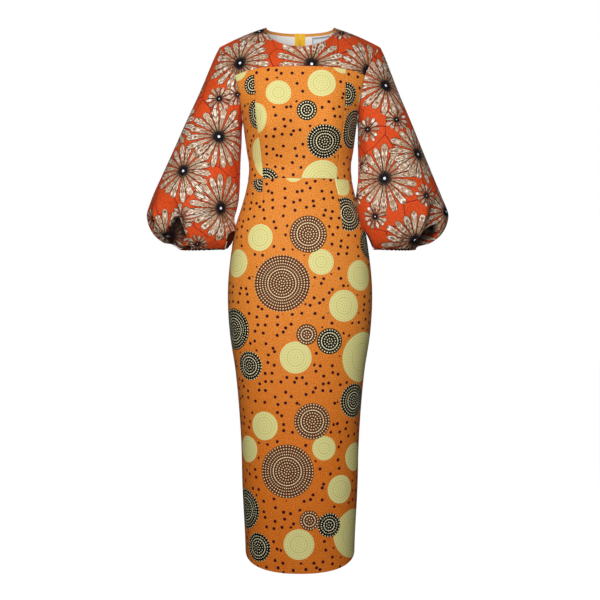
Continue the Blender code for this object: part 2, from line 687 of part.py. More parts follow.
def sleeve_rings(side):
    """The sleeve's outer points: rings from the armhole to the rolled end, with the folds drawn in."""
    loop = armhole_loop() + np.array([SEAM, 0.0, 0.0])
    count = len(loop)
    turn = np.arange(count) * 2 * math.pi / count
    rows = sleeve_rows(side)
    first = rows[0]
    axis0 = np.array([first.outer_x - first.inner_x, 0, first.outer_z - first.inner_z]) / 2
    centre0 = np.array([first.outer_x + first.inner_x, 0, first.outer_z + first.inner_z]) / 2
    across0 = np.array([-axis0[2], 0, axis0[0]]) / np.linalg.norm(axis0)
    local = loop - centre0
    along = local @ axis0 / (axis0 @ axis0)
    aside = local @ across0
    rings = []
    for i, row in enumerate(rows):
        axis = np.array([row.outer_x - row.inner_x, 0, row.outer_z - row.inner_z]) / 2
        centre = np.array([row.outer_x + row.inner_x, 0, row.outer_z + row.inner_z]) / 2
        across = np.array([-axis[2], 0, axis[0]]) / np.linalg.norm(axis)
        fade = min(i / LOOP_FADES, 1.0)
        round_part = fade * fade * (3 - 2 * fade)
        deep = np.where(np.sin(turn) > 0, -row.front, row.back) * np.abs(np.sin(turn))
        depth = deep + SLEEVE_CENTRE_Y * fade
        u = along * (1 - round_part) + np.cos(turn) * round_part
        y = local[:, 1] * (1 - round_part) + depth * round_part
        points = centre + u[:, None] * axis + (aside * (1 - round_part))[:, None] * across
        points[:, 1] = y
        rings.append(points)
    rings = np.array(rings)
    first, last = ROLL["starts"], ROLL["ends"]
    rolled = rings[first:last + 1]
    along = np.linalg.norm(np.diff(rolled, axis=0), axis=2).cumsum(axis=0)
    share = np.concatenate([along[:1] * 0, along])[..., None] / along[-1][:, None]
    straight = rolled[0] * (1 - share) + rolled[-1] * share
    drawn = np.zeros(count)
    for fold in FOLDS[side]:
        off = (np.degrees(turn) - fold.turn + 180) % 360 - 180
        drawn = np.maximum(drawn, fold.drawn * np.exp(-((2 * off / fold.wide) ** 2)))
    eased = np.clip(share / ROLL["ease"], 0, 1)
    eased = eased * eased * (3 - 2 * eased)
    rings[first:last + 1] = rolled + (straight - rolled) * eased * drawn[None, :, None]
    return rings


def inside_of(rings):
    """The inner points of a sleeve wall, one thickness in along the surface's own normals."""
    down = np.gradient(rings, axis=0)
    round_it = np.roll(rings, -1, axis=1) - np.roll(rings, 1, axis=1)
    normals = np.cross(round_it, down)
    normals /= np.linalg.norm(normals, axis=2, keepdims=True)
    normals[0] = loop_normals()
    return rings - WALL * normals


def make_sleeves():
    """Two lantern sleeves, each with a cuff inside its rolled end."""
    for side in ("left", "right"):
        rings = sleeve_rings(side)
        grids = [rings[::-1], inside_of(rings)[::-1]]
        last = sleeve_rows(side)[-1]
        centre = np.array([(last.outer_x + last.inner_x) / 2, SLEEVE_CENTRE_Y])
        turn = np.arange(rings.shape[1]) * 2 * math.pi / rings.shape[1]
        cuffs = []
        for inset in (0.0, WALL):
            half = (last.outer_x - last.inner_x) / 2 - CUFF["inside"] - inset
            depth = np.where(np.sin(turn) > 0, last.front, last.back) - CUFF["inside"] - inset
            x, y = centre[0] + half * np.cos(turn), centre[1] - depth * np.sin(turn)
            heights = (CUFF["top"] - CUFF["tall"], CUFF["top"])
            cuffs.append(np.array([np.stack([x, y, x * 0 + z], axis=-1) for z in heights]))
        if side == "right":
            grids = [g[:, ::-1] * np.array([-1, 1, 1]) for g in grids]
            cuffs = [g[:, ::-1] * np.array([-1, 1, 1]) for g in cuffs]
        wall("sleeve_" + side, *grids, "flowers", round_it=True)
        wall("cuff_" + side, *cuffs, "flowers", round_it=True)


def main():
    """Empties the scene and makes every piece of the dress."""
    for old in list(bpy.data.objects):
        bpy.data.objects.remove(old)
    made = bpy.data.collections.new("lantern_sleeve_dress")
    bpy.context.scene.collection.children.link(made)
    make_skirt()
    make_bodice()
    make_neck_trims()
    make_zip()
    make_sleeves()


main()
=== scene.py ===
# The looks of a long fitted dress with lantern sleeves, worn by nobody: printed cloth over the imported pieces.
# Metres, +Z up, the front faces -Y. Each cloth piece is a fine grid of points on the same form as its solid.

import math

import bpy
import numpy as np
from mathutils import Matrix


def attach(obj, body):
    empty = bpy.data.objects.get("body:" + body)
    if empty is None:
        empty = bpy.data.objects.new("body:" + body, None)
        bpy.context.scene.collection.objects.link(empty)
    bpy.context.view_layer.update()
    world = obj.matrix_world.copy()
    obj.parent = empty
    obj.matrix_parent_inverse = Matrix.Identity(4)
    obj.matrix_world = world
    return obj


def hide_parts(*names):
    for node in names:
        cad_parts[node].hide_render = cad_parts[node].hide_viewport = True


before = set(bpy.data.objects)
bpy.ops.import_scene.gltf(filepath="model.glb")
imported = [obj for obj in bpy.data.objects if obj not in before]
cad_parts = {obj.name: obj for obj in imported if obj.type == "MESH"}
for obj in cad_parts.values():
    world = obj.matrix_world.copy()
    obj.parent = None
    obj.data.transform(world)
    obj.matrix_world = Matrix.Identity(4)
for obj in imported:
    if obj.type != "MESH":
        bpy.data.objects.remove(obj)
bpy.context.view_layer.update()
print("frame loaded")


# the form of the body

body = {  # rings of the worn shape: height, half width, depth of the front, depth of the back, squareness
    "height": (-1.330, -1.246, -1.100, -0.980, -0.900, -0.820, -0.730, -0.620, -0.540, -0.470, -0.425, -0.368,
               -0.340, -0.290, -0.227, -0.170, -0.104),
    "half": (0.1300, 0.1308, 0.1380, 0.1416, 0.1470, 0.1550, 0.1685, 0.1728, 0.1650, 0.1530, 0.1385, 0.1250,
             0.1224, 0.1286, 0.1368, 0.1450, 0.1600),
    "front": (0.098, 0.099, 0.102, 0.104, 0.106, 0.108, 0.110, 0.108, 0.104, 0.100, 0.096, 0.088,
              0.086, 0.091, 0.101, 0.099, 0.092),
    "back": (0.094, 0.095, 0.098, 0.099, 0.101, 0.106, 0.116, 0.131, 0.133, 0.120, 0.105, 0.083,
             0.080, 0.086, 0.098, 0.106, 0.100),
    "square": (2.30, 2.30, 2.25, 2.20, 2.20, 2.20, 2.20, 2.20, 2.20, 2.20, 2.20, 2.20,
               2.20, 2.25, 2.30, 2.35, 2.40),
    "waist": -0.368,
    "underarm": -0.227,
    "hemAtSides": -1.246,
    "hemDip": {"front": 0.0455, "back": 0.030},
    "hemRoundness": 0.75,
    "slitTop": -0.870,
    "slitOpen": 0.0030,
    "slitDepth": 0.13,
    "sideDepth": 0.12,
    "seam": 0.0003,
    "cloth": 0.0010,
}
bust = {"push": 0.030, "out": 0.080, "height": -0.245, "across": 0.040, "above": 0.062, "below": 0.040}
armholes = {  # the armhole from the underarm to the shoulder's tip: height, distance out, depth
    "front": ((-0.2270, 0.1368, 0.000), (-0.2110, 0.1385, 0.029), (-0.1830, 0.1420, 0.049),
              (-0.1500, 0.1475, 0.058), (-0.1182, 0.1555, 0.056), (-0.0850, 0.1715, 0.042),
              (-0.0600, 0.1850, 0.021), (-0.0465, 0.1925, 0.000)),
    "back": ((-0.2270, 0.1368, 0.000), (-0.2110, 0.1400, 0.032), (-0.1830, 0.1470, 0.053),
             (-0.1500, 0.1550, 0.061), (-0.1182, 0.1640, 0.056), (-0.0850, 0.1755, 0.040),
             (-0.0600, 0.1865, 0.020), (-0.0465, 0.1925, 0.000)),
    "chestShare": 0.55,
    "yokeLift": 0.0168,
}
neck = {
    "half": 0.0835,
    "depth": {"front": 0.078, "back": 0.064},
    "drop": {"front": 0.0580, "back": 0.0040},
    "curve": {"front": 1.0, "back": 0.6},
    "share": {"front": 6 / 11, "back": 0.50225},
    "shoulderBow": 0.0032,
    "soften": 0.22,
    "columnEnds": ((0.22, 0.97), (0.5, 0.85), (1.0, 0.25)),  # inward and up: start, neck end, shoulder end
}
princessSeam = {"height": (-0.369, -0.300, -0.225, -0.104), "out": (0.0871, 0.0930, 0.1035, 0.1083)}
sign = {"front": -1.0, "back": 1.0}


def smooth(rows, values, at):  # a cubic curve through values at rising rows, with each row's mean slope
    rows, values = np.asarray(rows, float), np.asarray(values, float)
    at = np.clip(np.asarray(at, float), rows[0], rows[-1])
    slopes = np.gradient(values, rows)
    i = np.clip(np.searchsorted(rows, at, side="right") - 1, 0, len(rows) - 2)
    step = rows[i + 1] - rows[i]
    t = (at - rows[i]) / step
    start = (1 + 2 * t) * (1 - t) ** 2 * values[i] + t * (1 - t) ** 2 * step * slopes[i]
    return start + t * t * (3 - 2 * t) * values[i + 1] + t * t * (t - 1) * step * slopes[i + 1]


def ease(value):  # 0 to 1 with soft ends
    value = np.clip(value, 0, 1)
    return value * value * (3 - 2 * value)


def bodyRow(column, height):
    return smooth(body["height"], body[column], height)


def swell(x, z):  # two bell curves side by side, each wider above than below, for the bust
    spread = np.where(z > bust["height"], bust["above"], bust["below"])
    across = sum(np.exp(-(((x - s * bust["out"]) / bust["across"]) ** 2) / 2) for s in (-1, 1))
    return bust["push"] * across * np.exp(-(((z - bust["height"]) / spread) ** 2) / 2)


def onRing(side, half, depth, square, turn, z):
    # a superellipse: sine and cosine to a power, plus the bust in front
    x = half * np.sign(turn) * np.abs(np.sin(turn)) ** (2 / square)
    y = sign[side] * depth * np.abs(np.cos(turn)) ** (2 / square)
    if side == "front":
        y = y - swell(x, z)
    return np.stack(np.broadcast_arrays(x, y, z), axis=-1)


def ring(side, turn, z):
    turn, z = np.broadcast_arrays(turn, z)
    return onRing(side, bodyRow("half", z), bodyRow(side, z), bodyRow("square", z), turn, z)


def armhole(side, share):  # share is 0 at the underarm and 1 at the shoulder's tip
    z, x, depth = np.array(armholes[side]).T
    along = np.concatenate([[0], np.cumsum(np.sqrt(np.diff(z) ** 2 + np.diff(x) ** 2 + np.diff(depth) ** 2))])
    at = np.asarray(share, float) * along[-1]
    y = sign[side] * np.maximum(smooth(along, depth, at), 0)
    return np.stack([smooth(along, x, at), y, smooth(along, z, at)], axis=-1)


def chest(side, rise, share):
    # rise is 0 at the underarm and 1 at the yoke seam; share 0 in the middle, 1 at the armhole
    edge = armhole(side, np.asarray(rise) * armholes["chestShare"])
    lift = armholes["yokeLift"] * np.asarray(rise)
    depth = bodyRow(side, edge[..., 2] + lift)
    square = bodyRow("square", edge[..., 2])
    end = np.arccos(np.clip((np.abs(edge[..., 1]) / depth) ** (square / 2), 0, 1))
    half = edge[..., 0] / np.sin(end) ** (2 / square)
    turn = share * end
    x = half * np.sin(np.abs(turn)) ** (2 / square)
    z = edge[..., 2] + lift * (1 - (x / edge[..., 0]) ** 3)
    return onRing(side, half, depth, square, turn, z)


def topEdge(side, share):  # the neckline, a quarter ellipse, then the shoulder seam out to its tip
    neckShare = neck["share"][side]
    angle = np.clip(share / neckShare, 0, 1) * math.pi / 2
    cosine = np.abs(np.cos(angle))
    rim = np.stack([neck["half"] * np.sin(angle), sign[side] * neck["depth"][side] * cosine,
                    -neck["drop"][side] * cosine ** neck["curve"][side]], axis=-1)
    along = np.clip((share - neckShare) / (1 - neckShare), 0, 1)[..., None]
    point = rim + along * (armhole(side, 1.0) - np.array([neck["half"], 0, 0]))
    point[..., 2] += neck["shoulderBow"] * np.sin(along[..., 0] * math.pi)
    return point


def shoulder(side, rise, share):
    # cubic columns from the chest's top row to the top edge, drawn to the armhole outside
    share = np.asarray(share, float)[None, :]
    t = np.asarray(rise, float)[:, None, None]

    def columns(s):
        low, high = chest(side, np.ones((1, 1)), s), topEdge(side, s)
        gap = np.linalg.norm(high - low, axis=-1, keepdims=True)
        over = ease((s - neck["share"][side] + neck["soften"]) / (2 * neck["soften"]))[..., None]
        leaving, atNeck, atShoulder = (np.array([0.0, -sign[side] * level, rising])
                                       for level, rising in neck["columnEnds"])
        start = gap * leaving
        end = gap * ((1 - over) * atNeck + over * atShoulder)
        return ((1 + 2 * t) * (1 - t) ** 2 * low + t * (1 - t) ** 2 * start
                + t * t * (3 - 2 * t) * high + t * t * (t - 1) * end)

    edge = armhole(side, armholes["chestShare"] + (1 - armholes["chestShare"]) * t[:, 0, 0])
    pull = edge[:, None] - columns(np.ones((1, 1)))
    return columns(share) + pull * (np.abs(share) ** 3)[..., None]


def bothHalves(grid):  # a wearer's left half joined to its mirror image at the middle
    return np.concatenate([grid[:, :0:-1] * np.array([-1, 1, 1]), grid], axis=1)


def mirrored(grid):
    return grid[:, ::-1] * np.array([-1, 1, 1])


# the sleeve's form

sleeve = {  # rings down the sleeve: outer point, inner point, depth to the front, depth to the back
    "outerX": (0.1925, 0.2035, 0.2195, 0.2370, 0.2560, 0.2750, 0.2940, 0.3130, 0.3320, 0.3500, 0.3625, 0.3620,
               0.3555, 0.3440, 0.3270, 0.3040, 0.2850, 0.2755, 0.2745),
    "outerZ": (-0.0465, -0.0690, -0.1080, -0.1520, -0.1980, -0.2440, -0.2880, -0.3300, -0.3720, -0.4120,
               -0.4440, -0.4620, -0.4810, -0.4990, -0.5140, -0.5260, -0.5330, -0.5240, -0.5020),
    "innerX": (0.1368, 0.1385, 0.1390, 0.1392, 0.1394, 0.1396, 0.1402, 0.1414, 0.1430, 0.1452, 0.1500, 0.1560,
               0.1612, 0.1652, 0.1695, 0.1750, 0.1810, 0.1870, 0.1880),
    "innerZ": (-0.227, -0.243, -0.260, -0.280, -0.302, -0.326, -0.350, -0.374, -0.398, -0.421, -0.444, -0.464,
               -0.482, -0.499, -0.513, -0.525, -0.532, -0.523, -0.502),
    "front": (0.058, 0.062, 0.062, 0.062, 0.064, 0.068, 0.073, 0.079, 0.085, 0.091, 0.095, 0.095,
              0.090, 0.082, 0.072, 0.061, 0.052, 0.045, 0.043),
    "back": (0.061, 0.063, 0.063, 0.062, 0.062, 0.063, 0.065, 0.068, 0.072, 0.076, 0.079, 0.079,
             0.076, 0.070, 0.062, 0.053, 0.046, 0.042, 0.041),
    "centreY": -0.012,
    "loopFades": 5,
    "widest": 9,
    "swing": {"left": (-0.0080, -0.0030), "right": (0.0070, 0.0030)},
    "rollStarts": 8,
    "rollEnds": 16,
    "rollEase": 0.55,
    "swingPower": 1.2,
    "gathers": 34,
    "gatherDepth": 0.0009,
    "gatherRings": (12.5, 3.0, 16.8, 1.2),  # where it starts and ends, each with the rings that it takes
    "unevenDepth": 0.0010,
    "unevenRings": (1.0, 4.0, 15.0, 2.0),
    "hangsWander": (3.0, 0.7),
}
folds = {  # round the sleeve (0 outside, 90 in front), how wide, how far the fold is drawn in to the cuff
    "left": ((38, 36, 0.80), (81, 30, 0.30), (117, 30, 0.34), (166, 36, 0.62),
             (212, 34, 0.45), (255, 36, 0.60), (298, 34, 0.40), (336, 30, 0.45)),
    "right": ((18, 32, 0.40), (62, 36, 0.82), (108, 32, 0.32), (155, 36, 0.66),
              (204, 34, 0.44), (247, 36, 0.58), (290, 34, 0.44), (332, 32, 0.46)),
}
hangs = {  # long soft troughs down a sleeve: where round it, how wide, how deep, first and last ring
    "left": ((128, 9, 0.0045, 0.5, 7.5), (60, 14, 0.0022, 2.0, 9.0), (98, 10, 0.0016, 3.0, 10.0),
             (210, 14, 0.0030, 1.0, 9.0), (300, 16, 0.0026, 2.0, 9.0)),
    "right": ((132, 10, 0.0030, 0.5, 8.0), (75, 14, 0.0018, 2.5, 9.5), (48, 12, 0.0016, 3.0, 10.0),
              (225, 14, 0.0030, 1.0, 9.0), (285, 16, 0.0026, 2.0, 9.0)),
}

hollows = {  # deep tucks at a sleeve's end, from the front: crisp edges, soft edges, a point inside, depth
    "right": (
        {"crisp": (((0.3060, -0.4740), (0.2935, -0.4550)), ((0.2935, -0.4550), (0.2818, -0.4602)),
                   ((0.2818, -0.4602), (0.2600, -0.5195))),
         "soft": (((0.3100, -0.4550), (0.3330, -0.5400)),), "inside": (0.295, -0.495), "deep": 0.027},
        {"crisp": (((0.1560, -0.4880), (0.1700, -0.4985)), ((0.1700, -0.4985), (0.1780, -0.5300))),
         "soft": (), "inside": (0.162, -0.510), "deep": 0.015},
    ),
    "left": (
        {"crisp": (((0.2660, -0.5160), (0.3052, -0.4787)), ((0.3052, -0.4787), (0.3227, -0.4717)),
                   ((0.3227, -0.4717), (0.3330, -0.4960))),
         "soft": (((0.2560, -0.5000), (0.2780, -0.5400)), ((0.3420, -0.4900), (0.2960, -0.5350))),
         "inside": (0.310, -0.500), "deep": 0.034},
        {"crisp": (((0.1500, -0.4860), (0.1620, -0.4980)), ((0.1620, -0.4980), (0.1760, -0.5300))),
         "soft": (), "inside": (0.158, -0.510), "deep": 0.013},
    ),
}
lip = {  # how the cloth goes over a tuck's edges, and how dark the tuck and the sleeve's underside get
    "crisp": 0.0042,
    "soft": 0.015,
    "front": 0.010,
    "frontEase": 0.02,
    "keeps": (0.3, 1.0, 0.3),
    "turnsUp": (0.0, 0.8, 0.15),
    "shade": (0.014, 0.046),
    "shadeGain": 1.6,
    "underneath": (-0.506, -0.540, 0.60),
}
lap = {  # how far each sleeve's inner front laps over the hip, at rising heights
    "left": ((-0.545, -0.520, -0.500, -0.483, -0.464, -0.443, -0.408, -0.373, -0.330),
             (0.004, 0.011, 0.016, 0.020, 0.022, 0.018, 0.011, 0.005, 0.000)),
    "right": ((-0.545, -0.520, -0.500, -0.478, -0.450), (0.014, 0.026, 0.026, 0.018, 0.000)),
    "startsAt": -0.008,
    "fullAt": -0.036,
    "innerSide": (-0.30, -0.60),
}


def hollowed(grid, side):
    # pushes in each tuck: the product of an eased step at each of its edges, times its depth; returns
    # the shade and the grid as it was too
    front = ease((lip["front"] - grid[..., 1]) / lip["frontEase"])
    centre = grid.mean(axis=1, keepdims=True)
    inward = centre - grid
    inward = inward / np.maximum(np.linalg.norm(inward, axis=2, keepdims=True), 1e-9)
    inward = inward * np.array(lip["keeps"]) + np.array(lip["turnsUp"])
    push = np.zeros(grid.shape[:2])
    shade = np.zeros(grid.shape[:2])
    for tuck in hollows[side]:
        share = front
        deepest = np.full(grid.shape[:2], 1.0)
        for kind in ("crisp", "soft"):
            for (x0, z0), (x1, z1) in tuck[kind]:
                long = math.hypot(x1 - x0, z1 - z0)
                off = ((grid[..., 0] - x0) * (z1 - z0) - (grid[..., 2] - z0) * (x1 - x0)) / long
                within = (tuck["inside"][0] - x0) * (z1 - z0) - (tuck["inside"][1] - z0) * (x1 - x0)
                off = off * np.sign(within)
                share = share * ease(off / lip[kind])
                if kind == "crisp":
                    deepest = np.minimum(deepest, off)
        push = np.maximum(push, tuck["deep"] * share)
        near, far = lip["shade"]
        inside = 1 - ease((deepest - near) / (far - near))
        shade = np.maximum(shade, ease(share * lip["shadeGain"]) * inside)
    high, low, amount = lip["underneath"]
    shade = np.maximum(shade, amount * ease((high - grid[..., 2]) / (high - low)))
    return grid + inward * push[..., None], shade, grid


def lapped(grid, side, outerX, innerX):  # the inner front of a sleeve swings in over the hip
    across = (grid[..., 0] - (outerX + innerX) / 2) / ((outerX - innerX) / 2)
    inner = ease((lap["innerSide"][0] - across) / (lap["innerSide"][0] - lap["innerSide"][1]))
    forward = ease((lap["startsAt"] - grid[..., 1]) / (lap["startsAt"] - lap["fullAt"]))
    amount = np.interp(grid[..., 2], *lap[side])
    grid[..., 0] -= amount * inner * forward
    return grid


def angleOff(turn, degrees):  # how far a turn is from a given angle, in degrees
    return (np.degrees(turn) - degrees + 180) % 360 - 180


def window(value, begins, over, ends, within):  # 0 outside a stretch and 1 in it, eased at each end
    return ease((value - begins) / over) * (1 - ease((value - ends) / within))


def sleeveGrid(side, rows, turn):
    # a ring for each row number, between the armhole's loop and plain ellipses, then folds
    t = np.asarray(rows, float)[:, None]
    turn = np.asarray(turn, float)[None, :]
    ringNumbers = np.arange(len(sleeve["outerX"]))
    share = np.minimum(t / sleeve["widest"], 1.0) ** sleeve["swingPower"]
    outerX = smooth(ringNumbers, sleeve["outerX"], t) + sleeve["swing"][side][0] * share
    innerX = smooth(ringNumbers, sleeve["innerX"], t) + sleeve["swing"][side][1] * share
    outerZ, innerZ = smooth(ringNumbers, sleeve["outerZ"], t), smooth(ringNumbers, sleeve["innerZ"], t)
    front, back = smooth(ringNumbers, sleeve["front"], t), smooth(ringNumbers, sleeve["back"], t)
    axisX, axisZ = (outerX - innerX) / 2, (outerZ - innerZ) / 2
    length = np.hypot(axisX, axisZ)

    down = np.abs((turn + math.pi) % (2 * math.pi) - math.pi) / math.pi
    loop = np.where((np.sin(turn) >= 0)[..., None], armhole("front", 1 - down), armhole("back", 1 - down))
    loop = loop + np.array([body["seam"], 0, 0])
    tip = np.array([sleeve["outerX"][0], sleeve["outerZ"][0]])
    underarm = np.array([sleeve["innerX"][0], sleeve["innerZ"][0]])
    startX, startZ = (tip - underarm) / 2
    startLength = math.hypot(startX, startZ)
    localX, localZ = loop[..., 0] - (tip + underarm)[0] / 2, loop[..., 2] - (tip + underarm)[1] / 2
    along = (localX * startX + localZ * startZ) / startLength**2
    aside = (-localX * startZ + localZ * startX) / startLength

    fade = np.minimum(t / sleeve["loopFades"], 1.0)
    roundPart = ease(fade)
    depth = np.where(np.sin(turn) > 0, -front, back) * np.abs(np.sin(turn)) + sleeve["centreY"] * fade
    u = along * (1 - roundPart) + np.cos(turn) * roundPart
    v = aside * (1 - roundPart)
    x = (outerX + innerX) / 2 + u * axisX - v * axisZ / length
    z = (outerZ + innerZ) / 2 + u * axisZ + v * axisX / length
    y = loop[..., 1] * (1 - roundPart) + depth * roundPart
    grid = np.stack([x, y, z], axis=-1)

    inRoll = (t[:, 0] >= sleeve["rollStarts"]) & (t[:, 0] <= sleeve["rollEnds"])
    rolled = grid[inRoll]
    steps = np.linalg.norm(np.diff(rolled, axis=0), axis=2).cumsum(axis=0)
    part = np.concatenate([steps[:1] * 0, steps])[..., None] / steps[-1][:, None]
    straight = rolled[0] * (1 - part) + rolled[-1] * part
    pulls = [pull * np.exp(-((2 * angleOff(turn[0], at) / wide) ** 2)) for at, wide, pull in folds[side]]
    drawn = np.max(pulls, axis=0)
    grid[inRoll] = rolled + (straight - rolled) * ease(part / sleeve["rollEase"]) * drawn[None, :, None]

    push = np.zeros(grid.shape[:2])
    sway, often = sleeve["hangsWander"]
    for at, wide, deep, first, last in hangs[side]:  # bell-shaped troughs that rise and fade along the sleeve
        middle = np.sin(np.clip((t - first) / (last - first), 0, 1) * math.pi)
        push -= deep * middle * np.exp(-((angleOff(turn, at + sway * np.sin(t * often)) / wide) ** 2))
    # gathers: a sine round the sleeve whose place wanders by two slower sines
    wave = np.sin(sleeve["gathers"] * turn + 1.4 * np.sin(5 * turn) + 0.8 * np.sin(t * 1.3 + 3 * turn))
    push += sleeve["gatherDepth"] * window(t, *sleeve["gatherRings"]) * wave
    soft = sleeve["unevenDepth"] * np.sin(3 * turn + t * 0.9) * window(t, *sleeve["unevenRings"])
    grid = grid - normalsOf(grid, True) * (push + soft)[..., None]
    return hollowed(lapped(grid, side, outerX, innerX), side)


# meshes


def normalsOf(grid, closed=False):  # the cross product of the steps along columns and rows
    if closed:
        across = np.roll(grid, -1, axis=1) - np.roll(grid, 1, axis=1)
    else:
        across = np.gradient(grid, axis=1)
    normals = np.cross(across, np.gradient(grid, axis=0))
    return normals / np.maximum(np.linalg.norm(normals, axis=2, keepdims=True), 1e-12)


def facingOut(grid, centre, closed=False):  # turns the columns round where their normals point at the centre
    if (normalsOf(grid, closed) * (grid - centre)).sum(axis=2).mean() < 0:
        return grid[:, ::-1]
    return grid


def clothCoordinates(grid, closed=False):
    # distance along each row from its middle, and mean distance up the columns
    points = np.concatenate([grid, grid[:, :1]], axis=1) if closed else grid
    across = np.linalg.norm(np.diff(points, axis=1), axis=2).cumsum(axis=1)
    across = np.concatenate([across[:, :1] * 0, across], axis=1)
    up = np.linalg.norm(np.diff(grid, axis=0), axis=2).mean(axis=1).cumsum()
    up = np.concatenate([[0], up])[:, None] + across * 0
    return np.stack([across - across[:, -1:] / 2, up], axis=-1)


def gridQuads(number):  # the four corners of each face of a grid of point numbers
    corners = [number[:-1, :-1], number[:-1, 1:], number[1:, 1:], number[1:, :-1]]
    return np.stack(corners, axis=-1).reshape(-1, 4)


def meshOf(name, points, quads, materials, slots, smoothAngle=50):
    mesh = bpy.data.meshes.new(name)
    mesh.vertices.add(len(points))
    mesh.vertices.foreach_set("co", np.ascontiguousarray(points, dtype=np.float32).ravel())
    mesh.loops.add(quads.size)
    mesh.loops.foreach_set("vertex_index", np.ascontiguousarray(quads, dtype=np.int32).ravel())
    mesh.polygons.add(len(quads))
    mesh.polygons.foreach_set("loop_start", np.arange(0, quads.size, quads.shape[1], dtype=np.int32))
    for material in materials:
        mesh.materials.append(material)
    mesh.polygons.foreach_set("material_index", np.asarray(slots, dtype=np.int32))
    mesh.update(calc_edges=True)
    mesh.validate()
    mesh.shade_smooth()
    mesh.set_sharp_from_angle(angle=math.radians(smoothAngle))
    made = bpy.data.objects.new(name, mesh)
    bpy.context.scene.collection.objects.link(made)
    return made


def shell(name, grid, materials, motifs=None, closed=False, thick=None, areas=None, shade=None, printOn=None):
    # a closed skin: the grid, a second grid one thickness in along the normals, and the rims between them
    thick = body["cloth"] if thick is None else thick
    rows, columns = grid.shape[:2]
    normals = normalsOf(grid, closed)
    number = np.arange(rows * columns).reshape(rows, columns)
    if closed:
        number = np.concatenate([number, number[:, :1]], axis=1)
    out = gridQuads(number)
    other = rows * columns
    rims = [number[0], number[-1, ::-1]] + ([] if closed else [number[::-1, 0], number[:, -1]])
    rimQuads = [np.stack([rim[1:], rim[:-1], rim[:-1] + other, rim[1:] + other], axis=-1) for rim in rims]
    quads = np.concatenate([out, out[:, ::-1] + other, *rimQuads])
    slots = np.zeros(len(quads))
    slots[len(out): 2 * len(out)] = len(materials) - 1
    points = np.concatenate([grid.reshape(-1, 3), (grid - thick * normals).reshape(-1, 3)])
    made = meshOf(name, points, quads, materials, slots)

    cloth = clothCoordinates(grid, closed)
    wide = cloth.shape[1]
    place = np.arange(rows * wide).reshape(rows, wide)
    corner = gridQuads(place)
    flat = cloth.reshape(-1, 2)
    backs = quads[len(out):] % other
    rest = flat[backs // columns * wide + backs % columns]
    putUv(made, "cloth", np.concatenate([flat[corner].reshape(-1, 2), rest.reshape(-1, 2)]))
    if motifs is not None:
        printOn = grid if printOn is None else printOn
        printMaps(made, printOn, normalsOf(printOn, closed), out, len(quads), motifs, areas, shade)
    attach(made, "dress")
    return made


def putUv(made, name, values):
    layer = made.data.uv_layers.new(name=name)
    layer.uv.foreach_set("vector", np.ascontiguousarray(values, dtype=np.float32).ravel())


def dressPiece(name, node, paletteSlot, grid, materials, motifs, restsOn, held="hung", closed=False, **looks):
    # one cloth piece: its shell, and the node that it stands for, hidden; its slot in the palette is not used
    made = shell(name, grid, materials, motifs, closed, **looks)
    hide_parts(node)


# the prints' motifs

photo = {"pixel": 0.0024, "distance": 3.4, "middleX": 299.5, "middleY": 300.0, "height": -0.653}
laying = {  # when cloth counts as turned away, and how far a motif's distances follow the curve of the cloth
    "notShown": 0.05,
    "behind": 0.15,
    "otherSide": -0.2,
    "facesAway": -0.1,
    "never": 10.0,
    "mostStretch": 1.6,
    "stretchesFrom": 0.5,
}


def toPhoto(points):  # where points fall on the photograph: offsets from the lens's axis over their distance
    scale = photo["pixel"] * (photo["distance"] + points[..., 1]) / photo["distance"]
    return np.stack([photo["middleX"] + points[..., 0] / scale,
                     photo["middleY"] - (points[..., 2] - photo["height"]) / scale], axis=-1)


def frameAt(normal):  # two directions along the cloth at a point: level, and up
    level = np.cross(np.array([0.0, 0.0, 1.0]), normal)
    level = level / np.maximum(np.linalg.norm(level, axis=-1, keepdims=True), 1e-9)
    return level, np.cross(normal, level)


def placed(grid, normals, rows):
    # motifs set by their place in the photograph: x, y, radius in pixels, kind and, if it matters, dart side
    seen = toPhoto(grid)
    turnedAway = np.where(normals[..., 1] > laying["notShown"], 1000.0, 0.0)
    found = []
    for x, y, radius, kind, *where in rows:
        off = np.hypot(seen[..., 0] - x, seen[..., 1] - y) + turnedAway
        i = np.unravel_index(np.argmin(off), off.shape)
        level, up = frameAt(normals[i])
        slide = level * (x - seen[i][0]) * photo["pixel"] - up * (y - seen[i][1]) * photo["pixel"]
        found.append((grid[i] + slide, normals[i], radius * photo["pixel"], kind, *where))
    return found


def scattered(grid, normals, found, sizes, apart, seed, tries=4000, onlyBehind=False):
    # further motifs where there is room for them
    found = list(found)
    rng = np.random.default_rng(seed)
    points, directions = grid.reshape(-1, 3), normals.reshape(-1, 3)
    for n, i in enumerate(rng.integers(0, len(points), tries)):
        if onlyBehind and directions[i][1] < laying["behind"]:
            continue
        radius, kind = sizes[min(n * len(sizes) // tries, len(sizes) - 1)]
        if found:
            gaps = np.linalg.norm(np.array([m[0] for m in found]) - points[i], axis=1)
            room = np.array([m[2] for m in found]) + radius
            same = np.array([m[1] for m in found]) @ directions[i] > laying["otherSide"]
            if (same & (gaps < room * apart)).any():
                continue
        found.append((points[i], directions[i], radius, kind))
    return found


